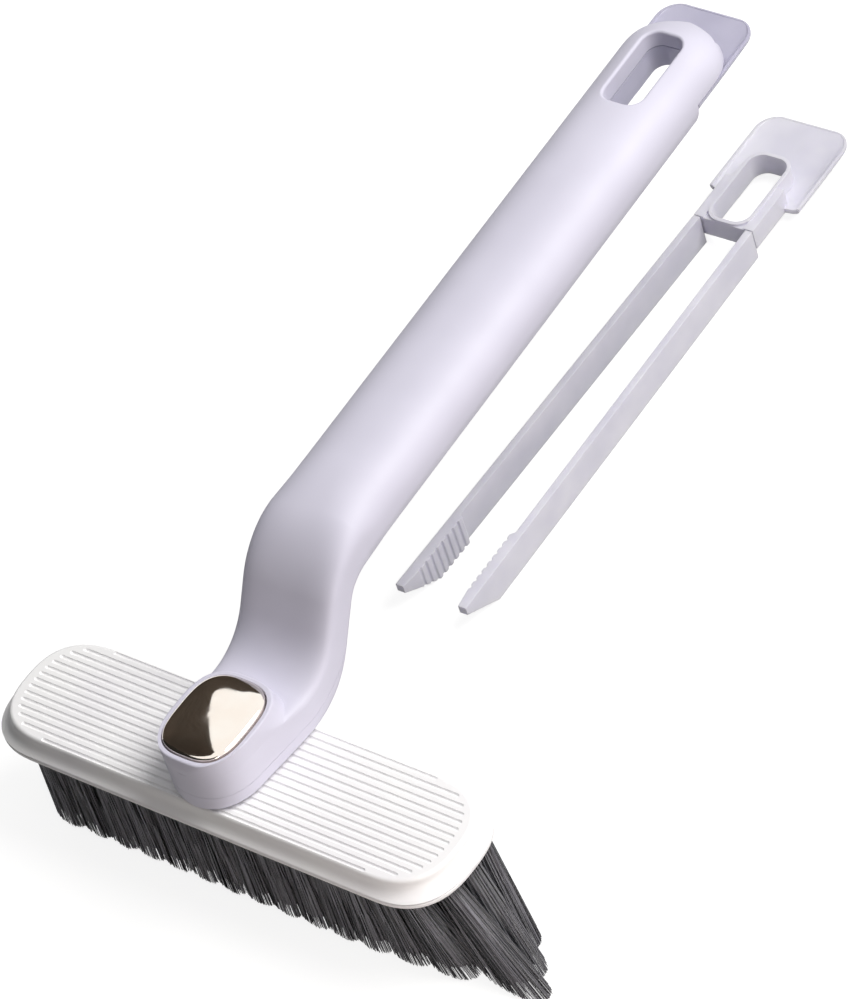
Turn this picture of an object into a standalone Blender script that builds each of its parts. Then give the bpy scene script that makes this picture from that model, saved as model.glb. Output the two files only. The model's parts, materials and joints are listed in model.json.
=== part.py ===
# Cleaning brush: turning head with bristles, cranked hollow handle, pull-out clip and a spare clip.
# Heights are measured from the top of the head's plate while modelling; the last step stands the
# brush on its bristle tips with the origin under the middle of everything.
import math

import bmesh
import bpy
from mathutils import Vector

MM = 0.001

# Clearances and common walls
gap = 0.3 * MM
overrun = 1.0 * MM
shell_wall = 1.8 * MM

# Head: flat ribbed top, sloping rim and the lip of the block under it
plate_half_length = 70.7 * MM
plate_half_width = 17.0 * MM
rim_spread_length = 3.2 * MM
rim_spread_width = 2.3 * MM
head_half_length = plate_half_length + rim_spread_length
head_half_width = plate_half_width + rim_spread_width
plate_depth = 5.2 * MM
plate_wall = 1.6 * MM
lip_height = 1.9 * MM
lip_inset = 0.5 * MM
end_round_power = 2.6
end_round_length = 19.0 * MM
edge_round = 1.0 * MM
rim_hollow_power = 2.8

# Grooves across the plate's top
groove_count = 15
groove_side_margin = 1.11 * MM
groove_pitch = 2 * (plate_half_width - groove_side_margin) / (groove_count - 1)
groove_width = 1.0 * MM
groove_depth = 0.5 * MM
groove_margin = 2.9 * MM

# Block that carries the tufts
block_rise = 1.8 * MM
block_fit = 0.4 * MM
pocket_edge_length = 2.4 * MM
pocket_edge_width = 2.3 * MM
pocket_half_length = head_half_length - pocket_edge_length
pocket_half_width = head_half_width - pocket_edge_width
pocket_round = 8.0 * MM
pocket_depth = 1.0 * MM

# Bristles: rows of tufts, each tuft a small grid of strands
strands_along = 3
strands_across = 2
tuft_pitch = 9.1 * MM
strand_cell = 2.0 * MM
strand_root = 1.2 * MM
strand_tip = 1.1 * MM
bristle_reach = 30.9 * MM
tuft_spread_share = 1.55
row_squeeze_share = 0.95
lean_start_share = 0.03
lean_end_share = 0.27
flare_margin = 10.2 * MM
flare_start = 35.0 * MM
flare_end = head_half_length - flare_margin
flare_reach = 20.01 * MM
row_flare_shares = (0.65, 1.0, 0.4, 0.2)

# Handle spine: foot over the pivot, steep neck, long grip that rises gently
foot_height = 8.6 * MM
foot_front = 17.4 * MM
neck_corner_y = 27.7 * MM
neck_angle = math.radians(57.0)
neck_lower_radius = 19.0 * MM
neck_upper_radius = 18.0 * MM
grip_angle = math.radians(3.4)
grip_corner_height = 32.8 * MM
grip_end_y = 234.0 * MM

# Handle section: half width and half thickness, more square at the foot and neck
grip_half_width = 15.0 * MM
grip_half_height = 10.5 * MM
neck_half_height = 5.6 * MM
foot_half_height = 8.2 * MM
foot_draft_share = 0.06
grip_power = 2.35
neck_power = 5.0
foot_power = 9.0
foot_end_power = 2.4
tail_end_power = 2.6
foot_round_length = 13.0 * MM
tail_round_length = 15.0 * MM
tail_drop = 5.3 * MM
tail_drop_power = 2.5
foot_seam_share = 0.42
grip_seam_share = 0.6
deepest_seam_share = 0.95
grip_growth_length = 24.0 * MM
end_flat = 0.8 * MM
hollow_start_y = 21.0 * MM

# Pivot inside the boss
post_radius = 4.0 * MM
post_flange_radius = 8.0 * MM
post_flange_height = 1.2 * MM
post_top = 8.6 * MM
washer_radius = 6.6 * MM
washer_height = 0.9 * MM
screw_radius = 1.5 * MM
screw_length = 8.0 * MM
screw_head_radius = 3.2 * MM
screw_head_height = 1.6 * MM
spring_wire = 0.35 * MM
spring_turns = 2.0
spring_radius = 5.3 * MM

# Bronze cap in the boss
cap_centre_y = -1.6 * MM
cap_half_x = 11.0 * MM
cap_half_y = 13.4 * MM
cap_power = 3.0
cap_skirt = 2.4 * MM
cap_dome = 2.0 * MM
cap_proud = 0.2 * MM
rim_width = 1.5 * MM
rim_rise = 0.8 * MM

# Screws that hold the two shells together in the boss
shell_screw_x = 9.6 * MM
shell_screw_y = 4.0 * MM
shell_screw_radius = 1.1 * MM
shell_screw_head_radius = 2.0 * MM
shell_screw_head_height = 1.1 * MM
shell_screw_length = 7.0 * MM

# Hang hole near the tail, with its collar in the upper shell
hole_centre_y = 211.8 * MM
hole_half_x = 6.2 * MM
hole_half_y = 13.2 * MM
hole_round = 4.2 * MM
collar_wall = 1.5 * MM
collar_drop = 6.0 * MM

# Clip: cap with its thumb flap, ring round the hang hole and two long arms
lower_shell_end_y = 212.6 * MM
tail_slant_share = 0.2
thumb_notch_half_width = 11.0 * MM
thumb_notch_length = 8.0 * MM
thumb_notch_roof = 3.5 * MM
thumb_notch_round = 3.0 * MM
clip_end_y = 243.6 * MM
rail_overlap = 2.0 * MM
web_length = 2.0 * MM
web_drop = 0.8 * MM
clip_corner = 6.5 * MM
tray_depth = 3.0 * MM
tray_end_depth = 1.7 * MM
tray_power = 3.4
tray_rise_length = 21.0 * MM
tray_dish = 1.5 * MM
dish_wall = 0.9 * MM
dish_power = 2.4
dish_end_share = 0.98
ring_wall = 1.1 * MM
arm_thickness = 2.2 * MM
arm_height = 10.0 * MM
arm_drop = 6.1 * MM
arm_tip_start = 5.08 * MM
jaw_length = 27.0 * MM
jaw_thickness = 1.2 * MM
jaw_tooth_count = 8
jaw_tooth_depth = 0.5 * MM
tip_bevel_length = 13.0 * MM
tip_height = 2.6 * MM

# Spare clip on the floor beside the handle
spare_shift_x = -5.0 * MM
spare_shift_y = 35.0 * MM
spare_yaw = math.radians(0.8)
spare_splay = math.radians(0.7)

# How finely the curved surfaces are divided
section_points = 12
end_steps = 6
arc_steps = 6
grip_steps = 7
round_segments = 24
wire_sides = 6
slope_steps = 5
crease_angle = math.radians(35.0)

base_z = -(plate_depth + lip_height)
floor_z = base_z - bristle_reach


def start_clean():
    """Empty the scene."""
    for old in list(bpy.data.objects):
        bpy.data.objects.remove(old, do_unlink=True)


def make_material(name, colour, roughness, metallic=0.0, alpha=1.0):
    """Principled material with one colour."""
    material = bpy.data.materials.new(name)
    material.use_nodes = True
    shader = material.node_tree.nodes["Principled BSDF"]
    shader.inputs["Base Color"].default_value = (*colour, 1.0)
    shader.inputs["Roughness"].default_value = roughness
    shader.inputs["Metallic"].default_value = metallic
    shader.inputs["Alpha"].default_value = alpha
    material.diffuse_color = (*colour, alpha)
    return material


def make_object(name, bm, material=None, parent=None, smooth_angle=None):
    """Turn a bmesh into an object with its material and parent."""
    bmesh.ops.recalc_face_normals(bm, faces=bm.faces)
    mesh = bpy.data.meshes.new(name)
    bm.to_mesh(mesh)
    bm.free()
    obj = bpy.data.objects.new(name, mesh)
    bpy.context.scene.collection.objects.link(obj)
    if material:
        mesh.materials.append(material)
    if smooth_angle:
        mesh.shade_smooth()
        mesh.set_sharp_from_angle(angle=smooth_angle)
    if parent:
        obj.parent = parent
    return obj


def make_cutter(name, bm, parent=None):
    """A shape that only cuts or joins others."""
    obj = make_object(name, bm, parent=parent)
    obj.hide_render = True
    obj.display_type = 'WIRE'
    return obj


def make_empty(name, location=(0, 0, 0), parent=None, rotation=(0, 0, 0)):
    """A frame that pieces hang from, set on a joint's axis."""
    empty = bpy.data.objects.new(name, None)
    bpy.context.scene.collection.objects.link(empty)
    empty.location = location
    empty.rotation_euler = rotation
    if parent:
        empty.parent = parent
    return empty


def boolean(obj, tool, operation='DIFFERENCE'):
    """Exact Boolean kept on the object as a modifier."""
    modifier = obj.modifiers.new(operation.lower(), 'BOOLEAN')
    modifier.operation = operation
    modifier.solver = 'EXACT'
    modifier.object = tool


def loft(rings):
    """Closed solid through rings that have equal numbers of points."""
    bm = bmesh.new()
    loops = [[bm.verts.new(point) for point in ring] for ring in rings]
    count = len(loops[0])
    for first, second in zip(loops, loops[1:]):
        for i in range(count):
            j = (i + 1) % count
            bm.faces.new((first[i], first[j], second[j], second[i]))
    bm.faces.new(reversed(loops[0]))
    bm.faces.new(loops[-1])
    return bm


def prism(outline, low, high):
    """Upright solid over an outline of (x, y) points."""
    rings = [[(x, y, z) for x, y in outline] for z in (low, high)]
    return loft(rings)


def cylinder(radius, low, high, centre=(0, 0), segments=round_segments):
    """Upright round bar."""
    turn = 2 * math.pi / segments
    outline = [(centre[0] + radius * math.cos(i * turn), centre[1] + radius * math.sin(i * turn))
               for i in range(segments)]
    return prism(outline, low, high)


def turned(profile, centre=(0, 0), segments=round_segments):
    """Solid turned from (radius, height) points about an upright axis, closed at both ends."""
    turn = 2 * math.pi / segments
    rings = []
    for radius, height in profile:
        rings.append([(centre[0] + radius * math.cos(i * turn), centre[1] + radius * math.sin(i * turn),
                       height) for i in range(segments)])
    return loft(rings)


def box(low, high):
    """Plain box between two corners."""
    outline = [(low[0], low[1]), (high[0], low[1]), (high[0], high[1]), (low[0], high[1])]
    return prism(outline, low[2], high[2])


def superellipse(half_x, half_y, power, count, centre=(0, 0)):
    """Outline between an ellipse and a rectangle."""
    points = []
    for i in range(count):
        angle = 2 * math.pi * i / count
        cos, sin = math.cos(angle), math.sin(angle)
        x = half_x * math.copysign(abs(cos) ** (2 / power), cos)
        y = half_y * math.copysign(abs(sin) ** (2 / power), sin)
        points.append((centre[0] + x, centre[1] + y))
    return points


def rounded_rectangle(half_x, half_y, radius, centre=(0, 0), steps=5):
    """Outline of a rectangle with round corners."""
    points = []
    for corner, (sx, sy) in enumerate(((1, 1), (-1, 1), (-1, -1), (1, -1))):
        for i in range(steps + 1):
            angle = (corner + i / steps) * math.pi / 2
            points.append((centre[0] + sx * (half_x - radius) + radius * math.cos(angle),
                           centre[1] + sy * (half_y - radius) + radius * math.sin(angle)))
    return points


def head_outline(half_length, half_width):
    """Outline of the head: straight sides and full round-cornered ends."""
    points = []
    straight = half_length - end_round_length
    steps = 2 * end_steps
    for side in (1, -1):
        for i in range(steps + 1):
            angle = -math.pi / 2 + math.pi * i / steps
            cos, sin = math.cos(angle), math.sin(angle)
            x = straight + end_round_length * abs(cos) ** (2 / end_round_power)
            y = half_width * math.copysign(abs(sin) ** (2 / end_round_power), sin)
            points.append((side * x, side * y))
    return points


def make_plate(material, parent):
    """Ribbed top plate with its hollow sloping rim, open underneath."""
    rings = []
    halfway = edge_round * (1 - math.sqrt(0.5))
    for inset, drop in ((edge_round, 0), (halfway, halfway), (0, edge_round)):
        outline = head_outline(plate_half_length - inset, plate_half_width - inset)
        rings.append([(x, y, -drop) for x, y in outline])
    for i in range(1, slope_steps + 1):
        share = i / slope_steps
        out = share ** rim_hollow_power
        length = plate_half_length + rim_spread_length * out
        width = plate_half_width + rim_spread_width * out
        z = -edge_round - (plate_depth - edge_round) * share
        rings.append([(x, y, z) for x, y in head_outline(length, width)])
    plate = make_object("head_top_plate", loft(rings), material, parent, crease_angle)

    roof = -plate_wall
    hollow = [[(x, y, roof) for x, y in head_outline(plate_half_length - plate_wall,
                                                     plate_half_width - plate_wall)],
              [(x, y, -plate_depth - overrun) for x, y in head_outline(head_half_length - plate_wall,
                                                                       head_half_width - plate_wall)]]
    boolean(plate, make_cutter("plate_hollow", loft(hollow), parent))

    grooves = bmesh.new()
    for i in range(groove_count):
        y = (i - (groove_count - 1) / 2) * groove_pitch
        half = groove_half_length(abs(y))
        rib = box((-half, y - groove_width / 2, -groove_depth), (half, y + groove_width / 2, overrun))
        mesh = bpy.data.meshes.new("groove")
        rib.to_mesh(mesh)
        rib.free()
        grooves.from_mesh(mesh)
        bpy.data.meshes.remove(mesh)
    boolean(plate, make_cutter("plate_grooves", grooves, parent))
    hole = cylinder(post_radius + gap, -plate_depth, overrun)
    boolean(plate, make_cutter("plate_post_hole", hole, parent))
    return plate


def groove_half_length(offset):
    """Half length of a groove: it stops a margin short of the plate's rounded end."""
    half_width = plate_half_width - edge_round
    share = min(offset / half_width, 1.0)
    reach = (1 - share ** end_round_power) ** (1 / end_round_power)
    return plate_half_length - end_round_length + end_round_length * reach - groove_margin


def make_block(material, parent):
    """Tray under the plate: its lip shows, its pocket holds the bristle backings."""
    top = -plate_depth - gap
    rings = []
    for inset, z in ((lip_inset, top), (0, top - lip_inset), (0, base_z + lip_inset), (lip_inset, base_z)):
        outline = head_outline(head_half_length - inset, head_half_width - inset)
        rings.append([(x, y, z) for x, y in outline])
    block = make_object("bristle_block", loft(rings), material, parent, crease_angle)
    hollow_share = (plate_depth + gap - block_rise - plate_wall) / (plate_depth + overrun - plate_wall)
    inner_length = plate_half_length - plate_wall + rim_spread_length * hollow_share - block_fit
    inner_width = plate_half_width - plate_wall + rim_spread_width * hollow_share - block_fit
    island = prism(head_outline(inner_length, inner_width), top - lip_inset, top + block_rise)
    boolean(block, make_cutter("block_island", island, parent), 'UNION')
    pocket = prism(rounded_rectangle(pocket_half_length, pocket_half_width, pocket_round),
                   base_z - overrun, base_z + pocket_depth)
    boolean(block, make_cutter("block_pocket", pocket, parent))
    return block


def bristle_lean(x, flare_share):
    """Sideways travel of a tuft's tips: little at one end, a wide flare at the other."""
    share = (x + flare_end) / (2 * flare_end)
    lean = (lean_start_share + (lean_end_share - lean_start_share) * share) * bristle_reach
    into = max(0.0, (x - flare_start) / (flare_end - flare_start))
    return lean + flare_share * flare_reach * into ** 2


def make_bristle_row(name, index, material, parent):
    """One row of tufts: strands drawn down from the faces of their backing strip."""
    pitch = (2 * pocket_half_width - gap) / len(row_flare_shares)
    y_low = -pocket_half_width + gap + index * pitch
    y_high = y_low + pitch - gap
    y_mid = (y_low + y_high) / 2
    back = base_z + pocket_depth - gap
    half = pocket_half_length - gap
    if max(abs(y_low), abs(y_high)) > pocket_half_width - pocket_round:
        half -= pocket_round
    tufts = int((2 * half - strands_along * strand_cell) / tuft_pitch) + 1

    columns = [-half]
    strand_columns = []
    for t in range(tufts):
        centre = (t - (tufts - 1) / 2) * tuft_pitch
        start = centre - strands_along * strand_cell / 2
        columns.append(start)
        for s in range(strands_along):
            strand_columns.append((len(columns) - 1, centre))
            columns.append(start + (s + 1) * strand_cell)
    columns.append(half)
    lines = [y_low, y_mid - strand_cell * strands_across / 2]
    for s in range(strands_across):
        lines.append(lines[1] + (s + 1) * strand_cell)
    lines.append(y_high)

    bm = bmesh.new()
    grid = [[bm.verts.new((x, y, base_z)) for y in lines] for x in columns]
    cells = {}
    for i in range(len(columns) - 1):
        for j in range(len(lines) - 1):
            cells[i, j] = bm.faces.new((grid[i][j], grid[i][j + 1], grid[i + 1][j + 1], grid[i + 1][j]))
    rim = [grid[i][0] for i in range(len(columns))] + [grid[-1][j] for j in range(1, len(lines))]
    rim += [grid[i][-1] for i in range(len(columns) - 2, -1, -1)]
    rim += [grid[0][j] for j in range(len(lines) - 2, 0, -1)]
    top = [bm.verts.new((vert.co.x, vert.co.y, back)) for vert in rim]
    for k in range(len(rim)):
        n = (k + 1) % len(rim)
        bm.faces.new((rim[k], rim[n], top[n], top[k]))
    bm.faces.new(top)

    for column, centre in strand_columns:
        for j in range(1, strands_across + 1):
            face = cells[column, j]
            middle = face.calc_center_median()
            inset = (strand_cell - strand_root) / 2
            bmesh.ops.inset_individual(bm, faces=[face], thickness=inset, use_even_offset=True)
            made = bmesh.ops.extrude_discrete_faces(bm, faces=[face])["faces"][0]
            lean = bristle_lean(centre, row_flare_shares[index])
            tip_x = centre + (middle.x - centre) * tuft_spread_share + lean
            tip_y = y_mid * row_squeeze_share + (middle.y - y_mid) * tuft_spread_share
            for vert in made.verts:
                vert.co.x = tip_x + (vert.co.x - middle.x) * strand_tip / strand_root
                vert.co.y = tip_y + (vert.co.y - middle.y) * strand_tip / strand_root
                vert.co.z = floor_z
    return make_object(name, bm, material, parent)


def spine_frames():
    """Stations along the handle's spine, each a place (y, z) and a direction angle."""
    frames = []
    start_y = -foot_front
    corner = Vector((neck_corner_y, foot_height))
    rise = grip_corner_height - foot_height
    upper = Vector((neck_corner_y + rise / math.tan(neck_angle), grip_corner_height))
    lower_turn = neck_angle
    upper_turn = neck_angle - grip_angle
    lower_cut = neck_lower_radius * math.tan(lower_turn / 2)
    upper_cut = neck_upper_radius * math.tan(upper_turn / 2)
    foot_stop = neck_corner_y - lower_cut

    round_end = start_y + foot_round_length
    for i in range(end_steps + 1):
        angle = math.pi / 2 * i / end_steps
        frames.append((Vector((round_end - foot_round_length * math.cos(angle), foot_height)), 0.0))
    frames.append((Vector(((round_end + foot_stop) / 2, foot_height)), 0.0))
    centre = Vector((foot_stop, foot_height + neck_lower_radius))
    for i in range(arc_steps + 1):
        angle = lower_turn * i / arc_steps
        frames.append((centre + neck_lower_radius * Vector((math.sin(angle), -math.cos(angle))), angle))
    along = Vector((math.cos(neck_angle), math.sin(neck_angle)))
    across = Vector((math.sin(neck_angle), -math.cos(neck_angle)))
    first = upper - along * upper_cut
    centre = first + across * neck_upper_radius
    for i in range(arc_steps + 1):
        angle = neck_angle - upper_turn * i / arc_steps
        out = Vector((-math.sin(angle), math.cos(angle)))
        frames.append((centre + neck_upper_radius * out, angle))
    last = frames[-1][0]
    slope = math.tan(grip_angle)
    tail_start = grip_end_y - tail_round_length
    for i in range(1, grip_steps + 1):
        y = last.x + (tail_start - last.x) * i / grip_steps
        frames.append((Vector((y, last.y + (y - last.x) * slope)), grip_angle))
    for i in range(1, end_steps + 1):
        angle = math.pi / 2 * i / end_steps
        y = tail_start + tail_round_length * math.sin(angle)
        frames.append((Vector((y, last.y + (y - last.x) * slope)), grip_angle))
    return frames


def ease(value):
    """Smooth step from 0 to 1."""
    value = min(max(value, 0.0), 1.0)
    return value * value * (3 - 2 * value)


def section_at(point, angle):
    """Half width, half thickness, squareness, draft and seam height of the handle's section."""
    y = point.x
    foot_stop = neck_corner_y - neck_lower_radius * math.tan(neck_angle / 2)
    turned_share = angle / neck_angle if y < grip_bend_y() else 1.0
    to_neck = ease(turned_share)
    past = ease((y - grip_bend_y()) / grip_growth_length)
    half_height = foot_half_height + (neck_half_height - foot_half_height) * to_neck
    half_height += (grip_half_height - half_height) * past
    power = foot_power + (neck_power - foot_power) * to_neck
    power += (grip_power - power) * past
    draft = foot_draft_share * (1 - ease((y - foot_stop / 2) / foot_stop))
    seam = -half_height * (foot_seam_share + (grip_seam_share - foot_seam_share) * to_neck)
    half_width = grip_half_width
    round_end = foot_round_length - foot_front
    if y < round_end:
        share = (round_end - y) / foot_round_length
        half_width *= max(1 - share ** foot_end_power, 0.0) ** (1 / foot_end_power)
    tail_start = grip_end_y - tail_round_length
    if y > tail_start:
        share = min((y - tail_start) / tail_round_length, 1.0)
        half_width *= max(1 - share ** tail_end_power, 0.0) ** (1 / tail_end_power)
        half_height -= tail_drop * share ** tail_drop_power
    return half_width, half_height, power, draft, seam


def grip_bend_y():
    """Where the neck starts to bend over into the grip."""
    rise = grip_corner_height - foot_height
    corner_y = neck_corner_y + rise / math.tan(neck_angle)
    cut = neck_upper_radius * math.tan((neck_angle - grip_angle) / 2)
    return corner_y - cut * math.cos(neck_angle)


def half_ring(point, angle, wall, side, seam_gap):
    """Upper (side 1) or lower (side -1) half section as a ring of points in world space."""
    half_width, half_height, power, draft, seam = section_at(point, angle)
    half_width = max(half_width - wall, end_flat)
    half_height = half_height - wall
    level = side * seam + seam_gap
    share = min(abs(level / half_height), deepest_seam_share)
    start = math.copysign(math.asin(share ** (power / 2)), level)
    out = Vector((-math.sin(angle), math.cos(angle)))
    ring = []
    for i in range(section_points + 1):
        t = start + (math.pi - 2 * start) * i / section_points
        cos, sin = math.cos(t), math.sin(t)
        x = half_width * math.copysign(abs(cos) ** (2 / power), cos)
        w = side * half_height * math.copysign(abs(sin) ** (2 / power), sin)
        x *= 1 - draft * w / foot_half_height
        place = point + out * w
        ring.append((x, place.x, place.y))
    return ring


def handle_outside(side):
    """Outer form of the upper (1) or lower (-1) half of the handle."""
    return loft([half_ring(point, angle, 0.0, side, gap / 2) for point, angle in spine_frames()])


def handle_hollow(side):
    """Hollow of that half, one wall in, from the neck to the tail and past the seam.

    Its stations lie midway between those of the outside.
    """
    frames = spine_frames()
    rings = []
    for (near, near_angle), (far, far_angle) in zip(frames, frames[1:]):
        point, angle = (near + far) / 2, (near_angle + far_angle) / 2
        if hollow_start_y < point.x < grip_end_y - shell_wall:
            rings.append(half_ring(point, angle, shell_wall, side, -overrun))
    return loft(rings)


def grip_corner():
    """Where the neck's line meets the grip's line, as (y, z)."""
    rise = grip_corner_height - foot_height
    return Vector((neck_corner_y + rise / math.tan(neck_angle), grip_corner_height))


def along_grip(y):
    """Distance along the grip's axis from its corner to a place y."""
    return (y - grip_corner().x) / math.cos(grip_angle)


hole_centre = along_grip(hole_centre_y)
cap_front = along_grip(lower_shell_end_y)
clip_end = along_grip(clip_end_y)
ring_top = grip_half_height - collar_drop - gap
ring_half_x = hole_half_x + ring_wall
ring_half_y = hole_half_y + ring_wall
arm_root = hole_centre - ring_half_y - gap
arm_reach = arm_root - arm_tip_start
arm_outer = ring_half_x + arm_thickness + gap


def tail_wedge(name, top, parent):
    """Room for the clip's tray behind a slanted end of the handle's underside."""
    reach = 2 * grip_half_width
    front = cap_front - gap
    side = [(front, top), (clip_end + reach, top), (clip_end + reach, -reach),
            (front - tail_slant_share * reach, -reach), (front, 0.0)]
    return make_cutter(name, loft([[(x, u, w) for u, w in side] for x in (-reach, reach)]), parent)


def slot(name, grow, low, high, parent):
    """Upright slot round the hang hole, grown outwards by a wall or a clearance."""
    outline = rounded_rectangle(hole_half_x + grow, hole_half_y + grow, hole_round + grow, (0, hole_centre))
    return make_cutter(name, prism(outline, low, high), parent)


def make_upper_shell(material, parent, grip_frame):
    """Top half of the handle: boss over the pivot, neck, grip, hang hole with its collar."""
    shell = make_object("handle_upper_shell", handle_outside(1), material, parent, crease_angle)
    hollow = make_cutter("upper_hollow", handle_hollow(1), parent)
    boolean(hollow, slot("hole_collar", collar_wall, grip_half_height - collar_drop, 2 * grip_half_height,
                         grip_frame))
    boolean(shell, hollow)
    deep = 2 * grip_half_height
    boolean(shell, slot("upper_hang_hole", 0.0, 0.0, deep, grip_frame))
    doorway = box((-arm_outer - gap, clip_end - tail_round_length, -overrun),
                  (arm_outer + gap, clip_end, ring_top + gap))
    boolean(shell, make_cutter("tail_doorway", doorway, grip_frame))
    boolean(shell, tail_wedge("tray_room", gap / 2, grip_frame))

    grow = gap + rim_width
    rim = prism(superellipse(cap_half_x + grow, cap_half_y + grow, cap_power, 2 * round_segments,
                             (0, cap_centre_y)), boss_top - overrun, rim_top)
    boolean(shell, make_cutter("boss_rim", rim, parent), 'UNION')
    recess = prism(superellipse(cap_half_x + gap, cap_half_y + gap, cap_power, 2 * round_segments,
                                (0, cap_centre_y)), cap_seat, rim_top + overrun)
    boolean(shell, make_cutter("cap_recess", recess, parent))
    chamber = cylinder(chamber_radius, foot_seam - overrun, cap_seat - shell_wall)
    boolean(shell, make_cutter("pivot_chamber", chamber, parent))
    access = cylinder(screw_head_radius + gap, foot_height, cap_seat + overrun)
    boolean(shell, make_cutter("screw_access", access, parent))
    for side in (-1, 1):
        hole = cylinder(shell_screw_radius + gap, 0.0, shell_screw_top + gap,
                        (side * shell_screw_x, shell_screw_y), round_segments // 2)
        boolean(shell, make_cutter("upper_screw_hole", hole, parent))
    return shell


def make_lower_shell(material, parent, grip_frame):
    """Under half of the handle: boss foot, neck back and grip, stopping short of the clip's cap."""
    shell = make_object("handle_lower_shell", handle_outside(-1), material, parent, crease_angle)
    boolean(shell, make_cutter("lower_hollow", handle_hollow(-1), parent))
    reach = 2 * grip_half_width
    boolean(shell, tail_wedge("tail_cut", reach, grip_frame))
    notch = rounded_rectangle(thumb_notch_half_width, thumb_notch_length, thumb_notch_round, (0, cap_front))
    boolean(shell, make_cutter("thumb_notch", prism(notch, -reach, -thumb_notch_roof), grip_frame))

    hole = cylinder(post_radius + gap, -overrun, foot_height)
    boolean(shell, make_cutter("foot_post_hole", hole, parent))
    for side in (-1, 1):
        centre = (side * shell_screw_x, shell_screw_y)
        hole = cylinder(shell_screw_radius + gap, 0.0, foot_height, centre, round_segments // 2)
        boolean(shell, make_cutter("foot_screw_hole", hole, parent))
        seat = cylinder(shell_screw_head_radius + gap, 0.0, foot_bottom + shell_screw_head_height + gap,
                        centre, round_segments // 2)
        boolean(shell, make_cutter("foot_screw_seat", seat, parent))
    return shell


def make_pivot_cap(material, parent):
    """Domed mirror cap pressed into the recess over the pivot, hollow underneath."""
    count = 2 * round_segments
    centre = (0, cap_centre_y)
    rim = rim_top + cap_proud
    rings = []
    for z in (cap_seat + gap, rim):
        rings.append([(x, y, z) for x, y in superellipse(cap_half_x, cap_half_y, cap_power, count, centre)])
    for i in range(1, end_steps):
        angle = math.pi / 2 * i / end_steps
        grow = math.cos(angle)
        outline = superellipse(cap_half_x * grow, cap_half_y * grow, cap_power, count, centre)
        rings.append([(x, y, rim + cap_dome * math.sin(angle)) for x, y in outline])
    cap = make_object("pivot_cap", loft(rings), material, parent, crease_angle)
    skirt = cap_skirt / 3
    inside = prism(superellipse(cap_half_x - skirt, cap_half_y - skirt, cap_power, count, centre),
                   cap_seat, rim - skirt)
    boolean(cap, make_cutter("cap_inside", inside, parent))
    return cap


def make_pivot_parts(plastic, steel, head, handle):
    """Post, washer and screw turn with the head; the spring stays in the handle."""
    flange_top = -plate_wall - gap
    post = turned([(post_flange_radius, flange_top - post_flange_height), (post_flange_radius, flange_top),
                   (post_radius, flange_top), (post_radius, post_top)])
    post = make_object("pivot_post", post, plastic, head, crease_angle)
    bore = cylinder(screw_radius + gap, post_top - screw_length - gap, post_top + overrun,
                    segments=round_segments // 2)
    boolean(post, make_cutter("post_bore", bore, head))

    washer_low = post_top + gap
    washer_top = washer_low + washer_height
    washer = cylinder(washer_radius, washer_low, washer_top)
    washer = make_object("pivot_washer", washer, steel, head, crease_angle)
    hole = cylinder(screw_radius + gap, washer_low - overrun, washer_top + overrun,
                    segments=round_segments // 2)
    boolean(washer, make_cutter("washer_hole", hole, head))

    head_low = washer_top + gap
    screw = turned([(screw_radius, post_top - screw_length + gap), (screw_radius, head_low),
                    (screw_head_radius, head_low), (screw_head_radius, head_low + screw_head_height / 2),
                    (screw_head_radius / 2, head_low + screw_head_height)])
    screw = make_object("pivot_screw", screw, steel, head, crease_angle)
    arm = screw_head_radius / 5
    floor = head_low + screw_head_height / 2
    for half_x, half_y in ((2 * arm, arm / 2), (arm / 2, 2 * arm)):
        cross = box((-half_x, -half_y, floor), (half_x, half_y, floor + screw_head_height))
        boolean(screw, make_cutter("screw_cross", cross, head))

    low = foot_seam + gap + spring_wire
    high = washer_low - gap - spring_wire
    steps = int(spring_turns * round_segments / 2)
    rings = []
    for i in range(steps + 1):
        turn = 2 * math.pi * spring_turns * i / steps
        height = low + (high - low) * i / steps
        ring = []
        for k in range(wire_sides):
            around = 2 * math.pi * k / wire_sides
            radius = spring_radius + spring_wire * math.cos(around)
            ring.append((radius * math.cos(turn), radius * math.sin(turn),
                         height + spring_wire * math.sin(around)))
        rings.append(ring)
    make_object("pivot_spring", loft(rings), steel, handle, crease_angle)


def make_shell_screws(steel, parent):
    """Two screws that come up through the foot into the boss."""
    for side, name in ((-1, "shell_screw_left"), (1, "shell_screw_right")):
        centre = (side * shell_screw_x, shell_screw_y)
        low = foot_bottom + gap
        neck = foot_bottom + shell_screw_head_height
        screw = turned([(shell_screw_head_radius, low), (shell_screw_head_radius, neck),
                        (shell_screw_radius, neck), (shell_screw_radius, shell_screw_top)],
                       centre, round_segments // 2)
        make_object(name, screw, steel, parent, crease_angle)


def tray_rise(u):
    """Share of the way that the tray's floor has risen towards the thumb flap."""
    return min(max((u - clip_end + tray_rise_length) / tray_rise_length, 0.0), 1.0) ** 2


def tray_solid(stations, inset, deep, shallow, power, top):
    """Loft of dish sections along the tray: deep at its front, shallow at its end."""
    rings = []
    for u in stations:
        half_width = grip_half_width - inset
        into = max(u - clip_end + clip_corner, 0.0)
        half_width -= clip_corner - math.sqrt(clip_corner ** 2 - into ** 2)
        depth = deep + (shallow - deep) * tray_rise(u)
        ring = [(half_width, u, top)]
        for i in range(section_points + 1):
            t = math.pi * i / section_points
            cos, sin = math.cos(t), math.sin(t)
            x = half_width * math.copysign(abs(cos) ** (2 / power), cos)
            ring.append((x, u, -gap / 2 - depth * abs(sin) ** (2 / power)))
        ring.append((-half_width, u, top))
        rings.append(ring)
    return loft(rings)


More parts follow.
